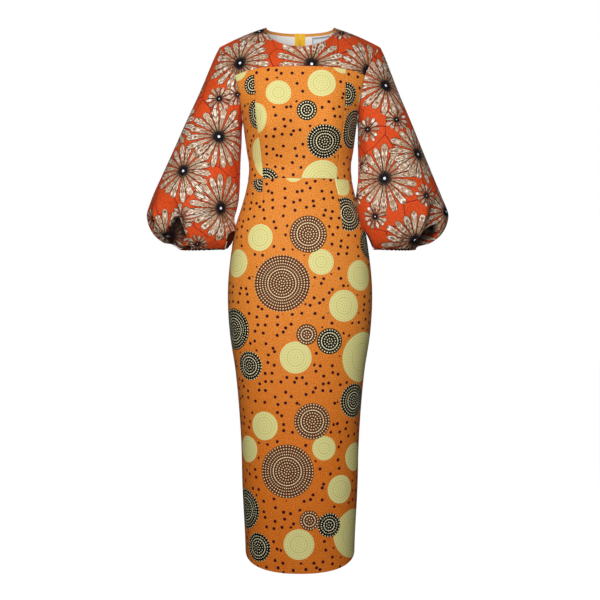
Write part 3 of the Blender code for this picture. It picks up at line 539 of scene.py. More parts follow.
def printMaps(made, grid, normals, out, faceCount, motifs, areas, shade):
    # each face takes its three nearest motifs; its corners carry their places in those motifs' coordinates
    centres = np.array([m[0] for m in motifs])
    directions = np.array([m[1] for m in motifs])
    radii = np.array([m[2] for m in motifs])
    kinds = np.array([m[3] for m in motifs])
    levels, ups = frameAt(directions)
    points, facing = grid.reshape(-1, 3), normals.reshape(-1, 3)
    middles, outward = points[out].mean(axis=1), facing[out].mean(axis=1)
    away = np.linalg.norm(middles[:, None] - centres[None], axis=2) - radii[None]
    away += laying["never"] * (outward @ directions.T < laying["facesAway"])
    if areas is not None:
        where = np.array([m[4] if len(m) > 4 else 0 for m in motifs])[None]
        areas = areas.ravel()[:, None]
        away += laying["never"] * ((where > 0) & (areas > 0) & (where != areas))
    nearest = np.argsort(away, axis=1)[:, :3]
    if len(motifs) <= 3:
        nearest = np.tile(np.arange(3) % len(motifs), (len(out), 1))
    nearest = np.sort(nearest, axis=1)  # the same motif stays on top wherever two meet
    packed = kinds + radii
    facts = []
    for layer, name in enumerate(("motifOne", "motifTwo", "motifThree")):
        pick = nearest[:, layer]
        d = points[out] - centres[pick][:, None]
        u = (d * levels[pick][:, None]).sum(axis=2)
        v = (d * ups[pick][:, None]).sum(axis=2)
        flatLong = np.maximum(np.hypot(u, v), 1e-9)
        stretch = np.clip(np.linalg.norm(d, axis=2) / flatLong, 1, laying["mostStretch"]) - 1
        stretch = 1 + stretch * ease(flatLong / radii[pick][:, None] / laying["stretchesFrom"])
        local = np.zeros((faceCount, 4, 2))
        local[: len(out)] = np.stack([u * stretch, v * stretch], axis=-1)
        putUv(made, name, local.reshape(-1, 2))
        fact = np.zeros((faceCount, 4))
        fact[: len(out)] = packed[pick][:, None]
        facts.append(fact.ravel())
    putUv(made, "facts", np.stack(facts[:2], axis=-1))
    foldShade = np.zeros((faceCount, 4))
    if shade is not None:
        foldShade[: len(out)] = shade.ravel()[out]
    putUv(made, "moreFacts", np.stack([facts[2], foldShade.ravel()], axis=-1))


# shader building

def colour(red, green, blue):  # a colour as seen on a screen, made linear
    values = [c / 255 for c in (red, green, blue)]
    return tuple([c / 12.92 if c <= 0.04045 else ((c + 0.055) / 1.055) ** 2.4 for c in values] + [1.0])


class Flow:  # adds nodes to one tree and joins them
    def __init__(self, tree):
        self.tree = tree

    def node(self, kind, **settings):
        made = self.tree.nodes.new(kind)
        for name, value in settings.items():
            setattr(made, name, value)
        return made

    def put(self, socket, value):
        if isinstance(value, bpy.types.NodeSocket):
            self.tree.links.new(value, socket)
        else:
            socket.default_value = value

    def math(self, operation, *values):
        made = self.node("ShaderNodeMath", operation=operation)
        for socket, value in zip(made.inputs, values):
            self.put(socket, value)
        return made.outputs[0]

    def add(self, a, b):
        return self.math("ADD", a, b)

    def sub(self, a, b):
        return self.math("SUBTRACT", a, b)

    def mul(self, a, b):
        return self.math("MULTIPLY", a, b)

    def div(self, a, b):
        return self.math("DIVIDE", a, b)

    def between(self, value, low, high, start=0.0, end=1.0):  # a soft step from start to end
        made = self.node("ShaderNodeMapRange", interpolation_type="SMOOTHSTEP")
        labels = ("Value", "From Min", "From Max", "To Min", "To Max")
        for label, item in zip(labels, (value, low, high, start, end)):
            self.put(made.inputs[label], item)
        return made.outputs["Result"]

    def mix(self, factor, a, b, blend="MIX"):
        made = self.node("ShaderNodeMix", data_type="RGBA", blend_type=blend)
        for socket, item in ((made.inputs[0], factor), (made.inputs[6], a), (made.inputs[7], b)):
            self.put(socket, item)
        return made.outputs[2]

    def split(self, vector):
        made = self.node("ShaderNodeSeparateXYZ")
        self.put(made.inputs[0], vector)
        return made.outputs

    def join(self, x, y, z=0.0):
        made = self.node("ShaderNodeCombineXYZ")
        for socket, value in zip(made.inputs, (x, y, z)):
            self.put(socket, value)
        return made.outputs[0]

    def noise(self, vector, scale, detail=2.0, roughness=0.5):
        made = self.node("ShaderNodeTexNoise")
        self.put(made.inputs["Vector"], vector)
        made.inputs["Scale"].default_value = scale
        made.inputs["Detail"].default_value = detail
        made.inputs["Roughness"].default_value = roughness
        return made.outputs["Fac"]

    def chance(self, x, y):  # a value from 0 to 1 for each pair of whole numbers
        made = self.node("ShaderNodeTexWhiteNoise", noise_dimensions="2D")
        self.put(made.inputs["Vector"], self.join(x, y))
        return made.outputs["Value"]

    def cells(self, vector, spacing, feature, randomness=1.0):  # distances in a scatter of cells
        made = self.node("ShaderNodeTexVoronoi", voronoi_dimensions="2D", feature=feature)
        self.put(made.inputs["Vector"], vector)
        made.inputs["Scale"].default_value = 1 / spacing
        made.inputs["Randomness"].default_value = randomness
        return made.outputs["Distance"]

    def uv(self, name):
        return self.node("ShaderNodeUVMap", uv_map=name).outputs[0]

    def use(self, group, **values):
        made = self.node("ShaderNodeGroup", node_tree=group)
        for name, value in values.items():
            self.put(made.inputs[name], value)
        return made.outputs


def nodeGroup(name, inputs, outputs):
    tree = bpy.data.node_groups.new(name, "ShaderNodeTree")
    for label, kind in inputs:
        tree.interface.new_socket(label, in_out="INPUT", socket_type="NodeSocket" + kind)
    for label, kind in outputs:
        tree.interface.new_socket(label, in_out="OUTPUT", socket_type="NodeSocket" + kind)
    flow = Flow(tree)
    return tree, flow, flow.node("NodeGroupInput").outputs, flow.node("NodeGroupOutput").inputs


printEdge = (-0.0002, 0.0003)
kindTurn = 0.37
discs = {  # distances in metres
    "pitch": 0.0066,
    "dash": 0.0058,
    "markHigh": 0.00140,
    "markWide": 0.00142,
    "markShare": 0.23,
    "markPower": 3.0,
    "markEdge": (0.6, 1.4),
    "solidAt": 0.55,
    "solidLine": (0.0004, 0.0009),
    "bareRim": (0.0030, 0.0085),
    "alignedAt": 0.78,
    "pale": colour(222, 214, 145),
    "paleMark": colour(182, 178, 82),
    "paleStrength": 0.75,
    "dark": colour(20, 14, 10),
    "darkMark": colour(234, 226, 184),
    "brown": colour(98, 48, 24),
    "brownMark": colour(238, 222, 176),
}


def motifPlace(f, given):  # place in the motif, distance from its centre, its whole number and its radius
    u, v, _ = f.split(given["Place"])
    r = f.math("SQRT", f.add(f.mul(u, u), f.mul(v, v)))
    return u, v, r, f.math("FLOOR", given["Fact"]), f.math("FRACT", given["Fact"])


def discGroup():
    # rings a pitch apart, each cut into dashes; one ring is unbroken, and the rings outside it have the same
    # number of dashes as each other, so that those stand in rows like spokes
    tree, f, given, wanted = nodeGroup("dotted disc", [("Place", "Vector"), ("Fact", "Float")],
                                       [("Color", "Color"), ("Mask", "Float"), ("Near", "Float")])
    u, v, r, kind, radius = motifPlace(f, given)
    ringNumber = f.math("ROUND", f.div(r, discs["pitch"]))
    ringRadius = f.mul(ringNumber, discs["pitch"])
    solidRing = f.math("ROUND", f.div(f.mul(radius, discs["solidAt"]), discs["pitch"]))
    beyond = f.math("GREATER_THAN", ringNumber, f.add(solidRing, 0.5))
    countedAt = f.add(f.mul(ringRadius, f.sub(1.0, beyond)), f.mul(f.mul(radius, discs["alignedAt"]), beyond))
    count = f.math("MAXIMUM", f.math("ROUND", f.mul(countedAt, 2 * math.pi / discs["dash"])), 1.0)
    ringTurn = f.mul(f.mul(ringNumber, kindTurn), f.sub(1.0, beyond))
    angle = f.add(f.div(f.math("ARCTAN2", v, u), 2 * math.pi), ringTurn)
    cell = f.sub(f.math("FRACT", f.mul(f.add(angle, 8.0), count)), 0.5)
    along = f.div(f.mul(f.mul(cell, ringRadius), 2 * math.pi), count)
    across = f.sub(r, ringRadius)
    high = f.math("POWER", f.math("ABSOLUTE", f.div(across, discs["markHigh"])), discs["markPower"])
    fits = f.div(f.mul(ringRadius, 2 * math.pi * discs["markShare"]), count)
    wide = f.math("ABSOLUTE", f.div(along, f.math("MINIMUM", fits, discs["markWide"])))
    wide = f.math("POWER", wide, discs["markPower"])
    mark = f.between(f.add(high, wide), *discs["markEdge"], 1.0, 0.0)
    onSolid = f.math("LESS_THAN", f.math("ABSOLUTE", f.sub(ringNumber, solidRing)), 0.5)
    line = f.mul(onSolid, f.between(f.math("ABSOLUTE", across), *discs["solidLine"], 1.0, 0.0))
    mark = f.math("MAXIMUM", mark, line)
    isDark = f.math("GREATER_THAN", kind, 1.5)
    isBrown = f.math("GREATER_THAN", kind, 2.5)
    ground = f.mix(isBrown, f.mix(isDark, discs["pale"], discs["dark"]), discs["brown"])
    ink = f.mix(isBrown, f.mix(isDark, discs["paleMark"], discs["darkMark"]), discs["brownMark"])
    strength = f.mul(mark, f.add(discs["paleStrength"], f.mul(isDark, 1 - discs["paleStrength"])))
    f.put(wanted["Color"], f.mix(strength, ground, ink))
    shown = f.math("GREATER_THAN", kind, 0.5)
    f.put(wanted["Mask"], f.mul(shown, f.between(f.sub(radius, r), *printEdge)))
    f.put(wanted["Near"], f.mul(shown, f.between(f.sub(r, radius), *discs["bareRim"], 1.0, 0.0)))
    return tree


flowers = {  # shares of a flower's radius, and colours
    "tan": colour(188, 156, 124),
    "white": colour(250, 242, 236),
    "brown": colour(84, 52, 34),
    "outline": colour(26, 10, 14),
    "heart": colour(10, 10, 18),
    "spot": colour(240, 244, 252),
    "core": 0.080,
    "strokes": 0.310,
    "spotSize": 0.039,
    "petals": (8.0, 118.0),
    "petalWide": 0.122,
    "neckShare": 0.27,
    "narrowTo": 0.05,
    "shortest": 0.80,
    "lean": 0.16,
    "widthAt": 16,
    "widestAt": 0.92,
    "petalFrom": 0.06,
    "tipFrom": 0.84,
    "streaks": (110.0, 330.0),
    "brownStreaks": (0.38, 0.47),
    "whiteStreaks": (0.53, 0.61),
    "whiteFrom": (0.30, 0.55),
    "crease": (0.0002, 0.0010),
    "creaseFades": (0.35, 0.70),
    "deepFades": (0.20, 0.46),
    "deepness": 0.70,
    "edge": (0.0010, 0.0020),
}


def flowerGroup():
    # a share of a turn for each petal, a club, narrow at the heart and round at its tip, with a dark outline;
    # the heart's points stand between the petals
    tree, f, given, wanted = nodeGroup("long petalled flower", [("Place", "Vector"), ("Fact", "Float")],
                                       [("Color", "Color"), ("Mask", "Float")])
    u, v, r, number, radius = motifPlace(f, given)
    count = f.math("ROUND", f.add(flowers["petals"][0], f.mul(radius, flowers["petals"][1])))
    angle = f.add(f.add(f.div(f.math("ARCTAN2", v, u), 2 * math.pi), 4.0), f.mul(number, kindTurn))
    turns = f.mul(f.math("FRACT", angle), count)
    petal = f.math("FLOOR", turns)
    lean = f.mul(f.sub(f.chance(f.add(petal, 40.0), number), 0.5), flowers["lean"])
    part = f.sub(f.sub(f.math("FRACT", turns), 0.5), lean)
    swing = f.div(f.mul(part, 2 * math.pi), count)
    aside = f.math("ABSOLUTE", f.mul(r, f.math("SINE", swing)))
    out = f.mul(r, f.math("COSINE", swing))
    longer = f.mul(f.chance(petal, number), 1 - flowers["shortest"])
    length = f.mul(radius, f.add(flowers["shortest"], longer))
    x = f.div(out, length)
    tip = f.math("MAXIMUM", f.div(f.sub(x, flowers["tipFrom"]), 1 - flowers["tipFrom"]), 0.0)
    tip = f.math("SQRT", f.math("MAXIMUM", f.sub(1.0, f.mul(tip, tip)), 0.0))
    widest = f.div(f.mul(radius, flowers["petalWide"] * flowers["widthAt"]), count)
    club = f.between(x, flowers["narrowTo"], flowers["widestAt"], flowers["neckShare"], 1.0)
    half = f.mul(f.mul(widest, club), tip)
    inside = f.sub(half, aside)
    mask = f.mul(f.between(inside, 0.0, 0.0003), f.math("GREATER_THAN", x, flowers["petalFrom"]))
    along, over = flowers["streaks"]
    streaks = f.noise(f.join(f.mul(out, along), f.mul(aside, over), f.add(petal, number)), 1.0, 3.0, 0.6)
    face = f.mix(f.between(streaks, *flowers["brownStreaks"]), flowers["brown"], flowers["tan"])
    glint = f.mul(f.between(streaks, *flowers["whiteStreaks"]), f.between(x, *flowers["whiteFrom"]))
    face = f.mix(glint, face, flowers["white"])
    crease = f.between(aside, *flowers["crease"], 1.0, 0.0)
    crease = f.mul(crease, f.between(x, *flowers["creaseFades"], 1.0, 0.0))
    shade = f.math("MAXIMUM", crease, f.between(x, *flowers["deepFades"], 0.5, 0.0))
    face = f.mix(f.mul(shade, flowers["deepness"]), face, flowers["brown"])
    edge = f.between(inside, *flowers["edge"], 1.0, 0.0)
    face = f.mix(edge, face, flowers["outline"])
    pointed = f.sub(0.5, f.math("ABSOLUTE", part))
    spike = f.mul(radius, f.add(flowers["core"], f.mul(pointed, flowers["strokes"])))
    heart = f.math("GREATER_THAN", spike, r)
    face = f.mix(heart, face, flowers["heart"])
    spot = f.between(f.sub(f.mul(radius, flowers["spotSize"]), r), *printEdge)
    face = f.mix(spot, face, flowers["spot"])
    f.put(wanted["Color"], face)
    f.put(wanted["Mask"], f.math("MAXIMUM", mask, heart))
    return tree


weaves = {"thread": 0.00055, "unevenness": 900.0, "threadShare": 0.5, "specular": 0.10, "bumpHigh": 0.0003}


def weaveGroup():
    # threads over and under: the product of two sines across the cloth, with a little unevenness
    tree, f, given, wanted = nodeGroup("plain weave", [("Cloth", "Vector")],
                                       [("Height", "Float"), ("Uneven", "Float")])
    u, v, _ = f.split(given["Cloth"])
    k = math.pi / weaves["thread"]
    height = f.mul(f.math("SINE", f.mul(u, k)), f.math("SINE", f.mul(v, k)))
    uneven = f.noise(given["Cloth"], weaves["unevenness"])
    f.put(wanted["Height"], f.add(f.mul(height, weaves["threadShare"]), uneven))
    f.put(wanted["Uneven"], uneven)
    return tree


discTree, flowerTree, weaveTree = discGroup(), flowerGroup(), weaveGroup()


def clothMaterial(name, roughness=0.62, sheen=0.02, bump=0.10):
    made = bpy.data.materials.new(name)
    made.use_nodes = True
    f = Flow(made.node_tree)
    shader = made.node_tree.nodes["Principled BSDF"]
    shader.inputs["Roughness"].default_value = roughness
    shader.inputs["Specular IOR Level"].default_value = weaves["specular"]
    shader.inputs["Sheen Weight"].default_value = sheen
    shader.inputs["Sheen Roughness"].default_value = 0.5
    weave = f.use(weaveTree, Cloth=f.uv("cloth"))
    relief = f.node("ShaderNodeBump")
    relief.inputs["Strength"].default_value = bump
    relief.inputs["Distance"].default_value = weaves["bumpHigh"]
    f.put(relief.inputs["Height"], weave["Height"])
    f.put(shader.inputs["Normal"], relief.outputs[0])
    return made, f, shader.inputs["Base Color"], weave["Uneven"]


ground = {
    "orange": colour(218, 121, 22),
    "orangeDeep": colour(192, 82, 4),
    "orangeLight": colour(252, 202, 116),
    # painted shade: a tint multiplied into the cloth between the heights below, darker towards the hem, where less
    # light falls
    "paintedHemShade": (0.93, 0.70, 0.42, 1.0),
    "deepensOver": (-1.15, -0.45),
    "dot": colour(58, 8, 26),
    "dotRadius": 0.0039,
    "dotSpacing": 0.0225,
    "dotScatter": 0.72,
    "smallestDot": 0.05,
    "red": colour(219, 83, 34),
    "redDeep": colour(198, 63, 18),
    "line": colour(104, 10, 32),
    "lineHalf": 0.0010,
    "lineSpacing": 0.062,
    "reverse": colour(250, 248, 246),
    "reverseDeep": colour(236, 232, 228),
    "binding": colour(246, 176, 88),
    "bindingDeep": colour(206, 126, 44),
    "tape": colour(255, 214, 60),
    "tapeDeep": colour(250, 180, 26),
    "label": colour(232, 233, 238),
    "labelEdge": colour(112, 112, 120),
    "foldShade": colour(30, 10, 6),
    "foldShading": 0.92,
}


def printedMotifs(f, tree):  # a face's three motifs, the top one last, and its fold shade
    facts, more = f.split(f.uv("facts")), f.split(f.uv("moreFacts"))
    places = (("motifThree", more[0]), ("motifTwo", facts[1]), ("motifOne", facts[0]))
    return [f.use(tree, Place=f.uv(place), Fact=fact) for place, fact in places], more[1]


def dottedCloth():
    made, f, base, _ = clothMaterial("dotted cloth")
    cloth = f.uv("cloth")
    grain = f.noise(cloth, 760.0, 1.0, 0.7)
    tone = f.mix(f.between(grain, 0.36, 0.50), ground["orangeDeep"], ground["orange"])
    tone = f.mix(f.between(grain, 0.53, 0.66), tone, ground["orangeLight"])
    printed, _ = printedMotifs(f, discTree)
    room = f.sub(1.0, printed[0]["Near"])
    for disc in printed[1:]:  # dots shrink to nothing on the bare rim round a disc
        room = f.mul(room, f.sub(1.0, disc["Near"]))
    cells = f.cells(cloth, ground["dotSpacing"], "F1", ground["dotScatter"])
    away = f.div(cells, f.math("MAXIMUM", room, ground["smallestDot"]))
    limit = ground["dotRadius"] / ground["dotSpacing"]
    _, _, height = f.split(f.node("ShaderNodeTexCoord").outputs["Object"])
    # painted shade: the orange is darkened and deepened towards the hem by height, standing in for the light
    # falling off
    tone = f.mix(f.between(height, *ground["deepensOver"], 1.0, 0.0), tone, ground["paintedHemShade"], "MULTIPLY")
    tone = f.mix(f.between(away, limit * 0.88, limit * 1.08, 1.0, 0.0), tone, ground["dot"])
    for disc in printed:
        tone = f.mix(disc["Mask"], tone, disc["Color"])
    f.put(base, tone)
    return made


def flowerCloth():
    made, f, base, _ = clothMaterial("flower cloth", roughness=0.66)
    cloth = f.uv("cloth")
    tone = f.mix(f.between(f.noise(cloth, 260.0, 2.0), 0.35, 0.65), ground["redDeep"], ground["red"])
    limit = ground["lineHalf"] / ground["lineSpacing"]
    cracks = f.cells(cloth, ground["lineSpacing"], "DISTANCE_TO_EDGE")
    line = f.between(cracks, limit * 0.7, limit * 1.4, 1.0, 0.0)
    tone = f.mix(f.mul(line, 0.85), tone, ground["line"])
    printed, foldShade = printedMotifs(f, flowerTree)
    for flower in printed:
        tone = f.mix(flower["Mask"], tone, flower["Color"])
    f.put(base, f.mix(f.mul(foldShade, ground["foldShading"]), tone, ground["foldShade"]))
    return made


def plainCloth(name, tone, deep, roughness=0.8, bump=0.12):
    made, f, base, uneven = clothMaterial(name, roughness, bump=bump)
    f.put(base, f.mix(f.between(uneven, 0.35, 0.65), deep, tone))
    return made


tapeLook = {"rib": 0.0011, "stitchesAt": 0.0022, "stitchWide": (0.0002, 0.0004), "stitch": 0.0026}
labelLook = {"size": (0.049, 0.020), "edge": (0.0007, 0.0012), "seamAt": 0.0024, "seamWide": (0.0002, 0.0005),
             "stitch": 0.0030}


def ribbedTape():  # close ribs across the tape, and a line of stitches near its outer edge
    made, f, base, _ = clothMaterial("zip tape cloth", roughness=0.5)
    u, v, _ = f.split(f.uv("cloth"))
    rib = f.math("SINE", f.mul(v, 2 * math.pi / tapeLook["rib"]))
    off = f.math("ABSOLUTE", f.sub(f.math("ABSOLUTE", u), tapeLook["stitchesAt"]))
    stitch = f.mul(f.between(off, *tapeLook["stitchWide"], 1.0, 0.0),
                   f.between(f.math("FRACT", f.div(v, tapeLook["stitch"])), 0.35, 0.45))
    tone = f.mix(f.between(rib, -0.6, 0.6), ground["tapeDeep"], ground["tape"])
    f.put(base, f.mix(stitch, tone, ground["bindingDeep"]))
    return made


def labelRibbon():  # satin with a stitched border a little inside its edge
    made, f, base, _ = clothMaterial("label ribbon", roughness=0.4, bump=0.06)
    u, v, _ = f.split(f.uv("cloth"))
    wide, tall = labelLook["size"]
    inU = f.sub(wide / 2, f.math("ABSOLUTE", u))
    inV = f.sub(tall / 2, f.math("ABSOLUTE", f.sub(v, tall / 2)))
    inset = f.math("MINIMUM", inU, inV)
    border = f.between(inset, *labelLook["edge"], 1.0, 0.0)
    seam = f.between(f.math("ABSOLUTE", f.sub(inset, labelLook["seamAt"])), *labelLook["seamWide"], 1.0, 0.0)
    dash = f.between(f.math("FRACT", f.div(f.add(u, v), labelLook["stitch"])), 0.30, 0.40)
    stitched = f.math("MAXIMUM", f.mul(border, 0.8), f.mul(seam, dash))
    f.put(base, f.mix(stitched, ground["label"], ground["labelEdge"]))
    return made


def hardFinish(name, light, deep, metallic, rough):
    made = bpy.data.materials.new(name)
    made.use_nodes = True
    f = Flow(made.node_tree)
    shader = made.node_tree.nodes["Principled BSDF"]
    shader.inputs["Metallic"].default_value = metallic
    place = f.node("ShaderNodeTexCoord").outputs["Object"]
    wear = f.noise(place, 900.0, 3.0)
    f.put(shader.inputs["Roughness"], f.between(wear, 0.3, 0.7, *rough))
    f.put(shader.inputs["Base Color"], f.mix(f.between(wear, 0.3, 0.7), deep, light))
    return made


dotted, flowered = dottedCloth(), flowerCloth()
reverse = plainCloth("cloth reverse", ground["reverse"], ground["reverseDeep"])
bindingCloth = plainCloth("binding cloth", ground["binding"], ground["bindingDeep"])
tapeCloth = ribbedTape()
labelCloth = labelRibbon()
brass = hardFinish("zip metal", colour(230, 196, 116), colour(216, 178, 92), 1.0, (0.22, 0.36))
coil = hardFinish("zip coil", ground["tape"], ground["tapeDeep"], 0.0, (0.35, 0.50))
print("materials made")


# the skirt and bodice

pale, dark, brown = 1, 2, 3
beside, between = 1, 2
darts = {  # the two darts in the skirt front as they show in the photograph: x at a few rows y, in pixels
    "rows": (176, 179, 200, 230),
    "left": (262.1, 262.2, 261.6, 260.0),
    "right": (333.7, 334.2, 338.9, 342.3),
    "closeColumns": ((0.258, 0.290), (0.702, 0.728)),
    "wide": 0.0016,
    "deep": 0.0013,
}
skirtDiscs = (  # x, y and radius in the photograph's pixels, and kind
    (341, 184, 12, pale, beside), (261.5, 180, 12, dark, beside), (293.2, 172.5, 9.5, pale, between),
    (347.5, 214, 17, dark, beside), (259.3, 237.5, 13.2, pale), (307.8, 234.1, 18.2, brown),
    (366.5, 244.6, 15, dark), (236.4, 263.3, 14, pale), (320.7, 261.9, 12.5, pale),
    (359.5, 275.3, 15, pale), (281.3, 283.4, 27.5, brown), (343.7, 305.8, 15.5, pale),
    (233.6, 329.2, 20.6, dark), (306.3, 334.5, 10.2, brown), (329.3, 341.2, 12.7, dark),
    (295.1, 357.5, 15.5, pale), (361, 357, 25, pale), (248.9, 365.6, 14.3, dark), (353.3, 400.5, 17, dark),
    (311.8, 421.4, 17.7, brown), (263.7, 425.9, 14.1, pale), (247.3, 449, 13, pale),
    (323.7, 448.2, 11.9, pale), (286.6, 471.5, 26, brown), (353.5, 456.6, 14, pale), (340, 489.2, 14, pale),
    (245.7, 508.7, 20, dark), (257.5, 547.2, 14, dark), (309, 520.6, 9.8, brown), (328.6, 525, 11.9, dark),
    (298.4, 544.5, 15, pale), (351, 533, 24, pale),
)
centreDiscs = (
    (277.9, 92.3, 12.4, pale), (321.3, 83, 13.8, pale), (306.4, 110, 10, dark), (324.3, 141.5, 17.4, dark),
    (322.5, 182, 21.5, pale), (254, 118, 15, pale), (264.5, 183, 15, dark), (343, 61, 12.5, pale),
)
sideDiscs = {
    "right": ((236, 69, 12, pale), (252.5, 84.7, 10, dark), (260, 113.5, 15.5, dark), (270.5, 157, 21, pale),
              (243, 189, 16, dark)),
    "left": ((346.5, 94, 12, dark), (353, 129.5, 19.5, dark), (366.5, 98, 9, pale)),
}
discSizes = ((0.062, brown), (0.058, pale), (0.044, dark), (0.036, pale), (0.034, dark), (0.036, pale),
             (0.026, brown))
scatter = {  # how far apart the motifs that the photograph doesn't show stand, and each piece's seed
    "discGap": 1.22, "skirtLeft": 11, "skirtRight": 23, "backLeft": 5, "backRight": 31,
    "sleeveGap": 0.84, "sleeve": 7, "sleeveFrom": 20, "yokeGap": 0.86, "yoke": 3, "cuffGap": 0.9, "cuff": 9,
}
edges = {"close": (0.0, 0.004, 0.009), "clear": 0.011, "fine": 13}


def hem(side, turn):  # lowest in the middle, rounded up to the side seams
    return body["hemAtSides"] - body["hemDip"][side] * np.abs(np.cos(turn)) ** body["hemRoundness"]


def creases(grid, rows):
    # soft troughs: middle x and z, length and width, angle and depth, pushed in along the normal
    push = np.zeros(grid.shape[:2])
    x, z = grid[..., 0], grid[..., 2]
    for midX, midZ, long, wide, degrees, deep in rows:
        c, s = math.cos(math.radians(degrees)), math.sin(math.radians(degrees))
        a, b = (x - midX) * c + (z - midZ) * s, -(x - midX) * s + (z - midZ) * c
        b = b + 0.12 * a * np.sin(a / long * 2)
        push -= deep * np.exp(-((a / long) ** 2) - (b / wide) ** 2)
    return grid + normalsOf(grid) * push[..., None]


def seamDip(grid, seams, wide=0.0022, deep=0.0007):
    # the cloth turns in a little beside each seam: left, right, low or high
    across = np.linalg.norm(np.diff(grid, axis=1), axis=2).cumsum(axis=1)
    across = np.concatenate([across[:, :1] * 0, across], axis=1)
    up = np.linalg.norm(np.diff(grid, axis=0), axis=2).cumsum(axis=0)
    up = np.concatenate([up[:1] * 0, up], axis=0)
    near = {"left": across, "right": across[:, -1:] - across, "low": up, "high": up[-1:] - up}
    push = np.zeros(grid.shape[:2])
    for seam in seams:
        push = np.minimum(push, -deep * np.exp(-((near[seam] / wide) ** 2)))
    return grid + normalsOf(grid) * push[..., None]


def edgeSpaced(count, first=0.0, last=1.0, closer=()):
    # even steps, closer at both ends and in stretches in between
    even = np.linspace(0, 1, count)
    close = np.array(edges["close"])
    even = even[(even > edges["clear"]) & (even < 1 - edges["clear"])]
    for low, high in closer:
        even = np.concatenate([even[(even < low) | (even > high)], np.linspace(low, high, edges["fine"])])
    steps = np.unique(np.concatenate([close, even, 1 - close]))
    return first + (last - first) * steps


def dartMap(grid):
    # how far each point is from the nearer dart, and whether it is beside or between the darts
    seen = toPhoto(grid)
    lines = [np.interp(seen[..., 1], darts["rows"], darts[side]) for side in ("left", "right")]
    off = np.minimum(np.abs(seen[..., 0] - lines[0]), np.abs(seen[..., 0] - lines[1])) * photo["pixel"]
    outside = (seen[..., 0] < lines[0]) | (seen[..., 0] > lines[1])
    above = 1 - ease((seen[..., 1] - darts["rows"][-2]) / (darts["rows"][-1] - darts["rows"][-2]))
    area = np.where(seen[..., 1] > darts["rows"][-1], 0, np.where(outside, beside, between))
    return off, above, area


skirtCreases = (
    (0.00, -1.22, 0.030, 0.010, 88, 0.0016), (-0.06, -1.20, 0.035, 0.012, 92, 0.0018),
    (0.07, -1.18, 0.040, 0.012, 95, 0.0016), (0.03, -0.66, 0.060, 0.014, 8, 0.0008),
    (-0.05, -0.63, 0.060, 0.014, -10, 0.0008), (0.02, -0.43, 0.050, 0.008, 4, 0.0006),
    (-0.06, -0.45, 0.040, 0.008, -14, 0.0007), (0.07, -0.46, 0.040, 0.008, 16, 0.0007),
    (-0.10, -0.95, 0.060, 0.012, 70, 0.0010), (0.10, -0.97, 0.060, 0.012, 110, 0.0010),
)


def makeSkirt():
    quarter = math.pi / 2
    trim = body["seam"] / body["sideDepth"]
    turn = edgeSpaced(112, -quarter + trim, quarter - trim, darts["closeColumns"])[None, :]
    up = edgeSpaced(236)[:, None]
    z = hem("front", turn) * (1 - up) + (body["waist"] - body["seam"] / 2) * up
    grid = facingOut(ring("front", turn, z), [0, 0, -0.8])
    grid = seamDip(creases(grid, skirtCreases), ("left", "right", "high"))
    off, above, area = dartMap(grid)
    grid = grid - normalsOf(grid) * (darts["deep"] * above * np.exp(-((off / darts["wide"]) ** 2)))[..., None]
    motifs = placed(grid, normalsOf(grid), skirtDiscs)
    middles = (grid[:-1, :-1] + grid[1:, 1:]) / 2
    dressPiece("skirtFront", "skirt_front", "dotted_print", grid, [dotted, reverse], motifs,
               ["bodice_center_front"], areas=dartMap(middles)[2])

    for side in ("left", "right"):
        first = trim
        turn = edgeSpaced(64, first, quarter - trim)[None, :]
        z = hem("back", turn) * (1 - up) + (body["waist"] - body["seam"] / 2) * up
        down = (body["slitTop"] - z[:, :1]) / (body["slitTop"] - body["hemAtSides"])
        start = first + body["slitOpen"] * np.clip(down, 0, 1) / body["slitDepth"]
        turn = start + (quarter - trim - start) * (turn - first) / (quarter - trim - first)
        grid = ring("back", turn, z)
        if side == "right":
            grid = mirrored(grid)
        grid = facingOut(grid, [0, 0, -0.8])
        grid = seamDip(creases(grid, skirtCreases), ("left", "right", "high"))
        seed = scatter["skirt" + side.capitalize()]
        motifs = scattered(grid, normalsOf(grid), [], discSizes, scatter["discGap"], seed)
        dressPiece("skirtBack" + side.capitalize(), "skirt_back_" + side, "dotted_print", grid,
                   [dotted, reverse], motifs, ["back_bodice_" + side])


def bodiceGrid(side, near, far, columns, waistRows=42, chestRows=44):
    # rows from the waist to the top of the chest
    share = edgeSpaced(columns)[None, :]
    z = edgeSpaced(waistRows, body["waist"] + body["seam"] / 2, body["underarm"])[:-1, None]
    rise = np.linspace(0, 1, chestRows)[:, None]
    lowStart, lowEnd = near(z, None), far(z, None)
    low = ring(side, lowStart + (lowEnd - lowStart) * share, z)
    highStart, highEnd = near(None, rise), far(None, rise)
    return np.concatenate([low, chest(side, rise, highStart + (highEnd - highStart) * share)])


def princess(gap, turned=1.0):
    # the seam's line, as a turn below the underarm and a share of the row above it
    def line(z, rise):
        if rise is None:
            x = smooth(princessSeam["height"], princessSeam["out"], z) + gap
            return turned * np.arcsin(np.clip((x / bodyRow("half", z)) ** (bodyRow("square", z) / 2), 0, 1))
        z = armhole("front", rise * armholes["chestShare"])[..., 2]
        x = smooth(princessSeam["height"], princessSeam["out"], z) + gap
        shares = np.linspace(0, 1, 300)[None, :]
        rows = chest("front", rise, shares)[..., 0]
        return turned * np.array([np.interp(x[i, 0], rows[i], shares[0]) for i in range(len(x))])[:, None]
    return line


def constant(turn, share):
    def line(z, rise):
        return np.full_like(z, turn) if rise is None else np.full_like(rise, share)
    return line


bodiceCreases = (
    (-0.045, -0.335, 0.050, 0.007, -6, 0.0009), (0.055, -0.325, 0.040, 0.007, 12, 0.0008),
    (0.0, -0.300, 0.035, 0.010, 0, 0.0007), (-0.085, -0.205, 0.030, 0.006, 40, 0.0010),
    (0.085, -0.200, 0.030, 0.006, -40, 0.0010), (0.10, -0.33, 0.030, 0.006, 20, 0.0008),
    (-0.10, -0.33, 0.030, 0.006, -20, 0.0008),
)


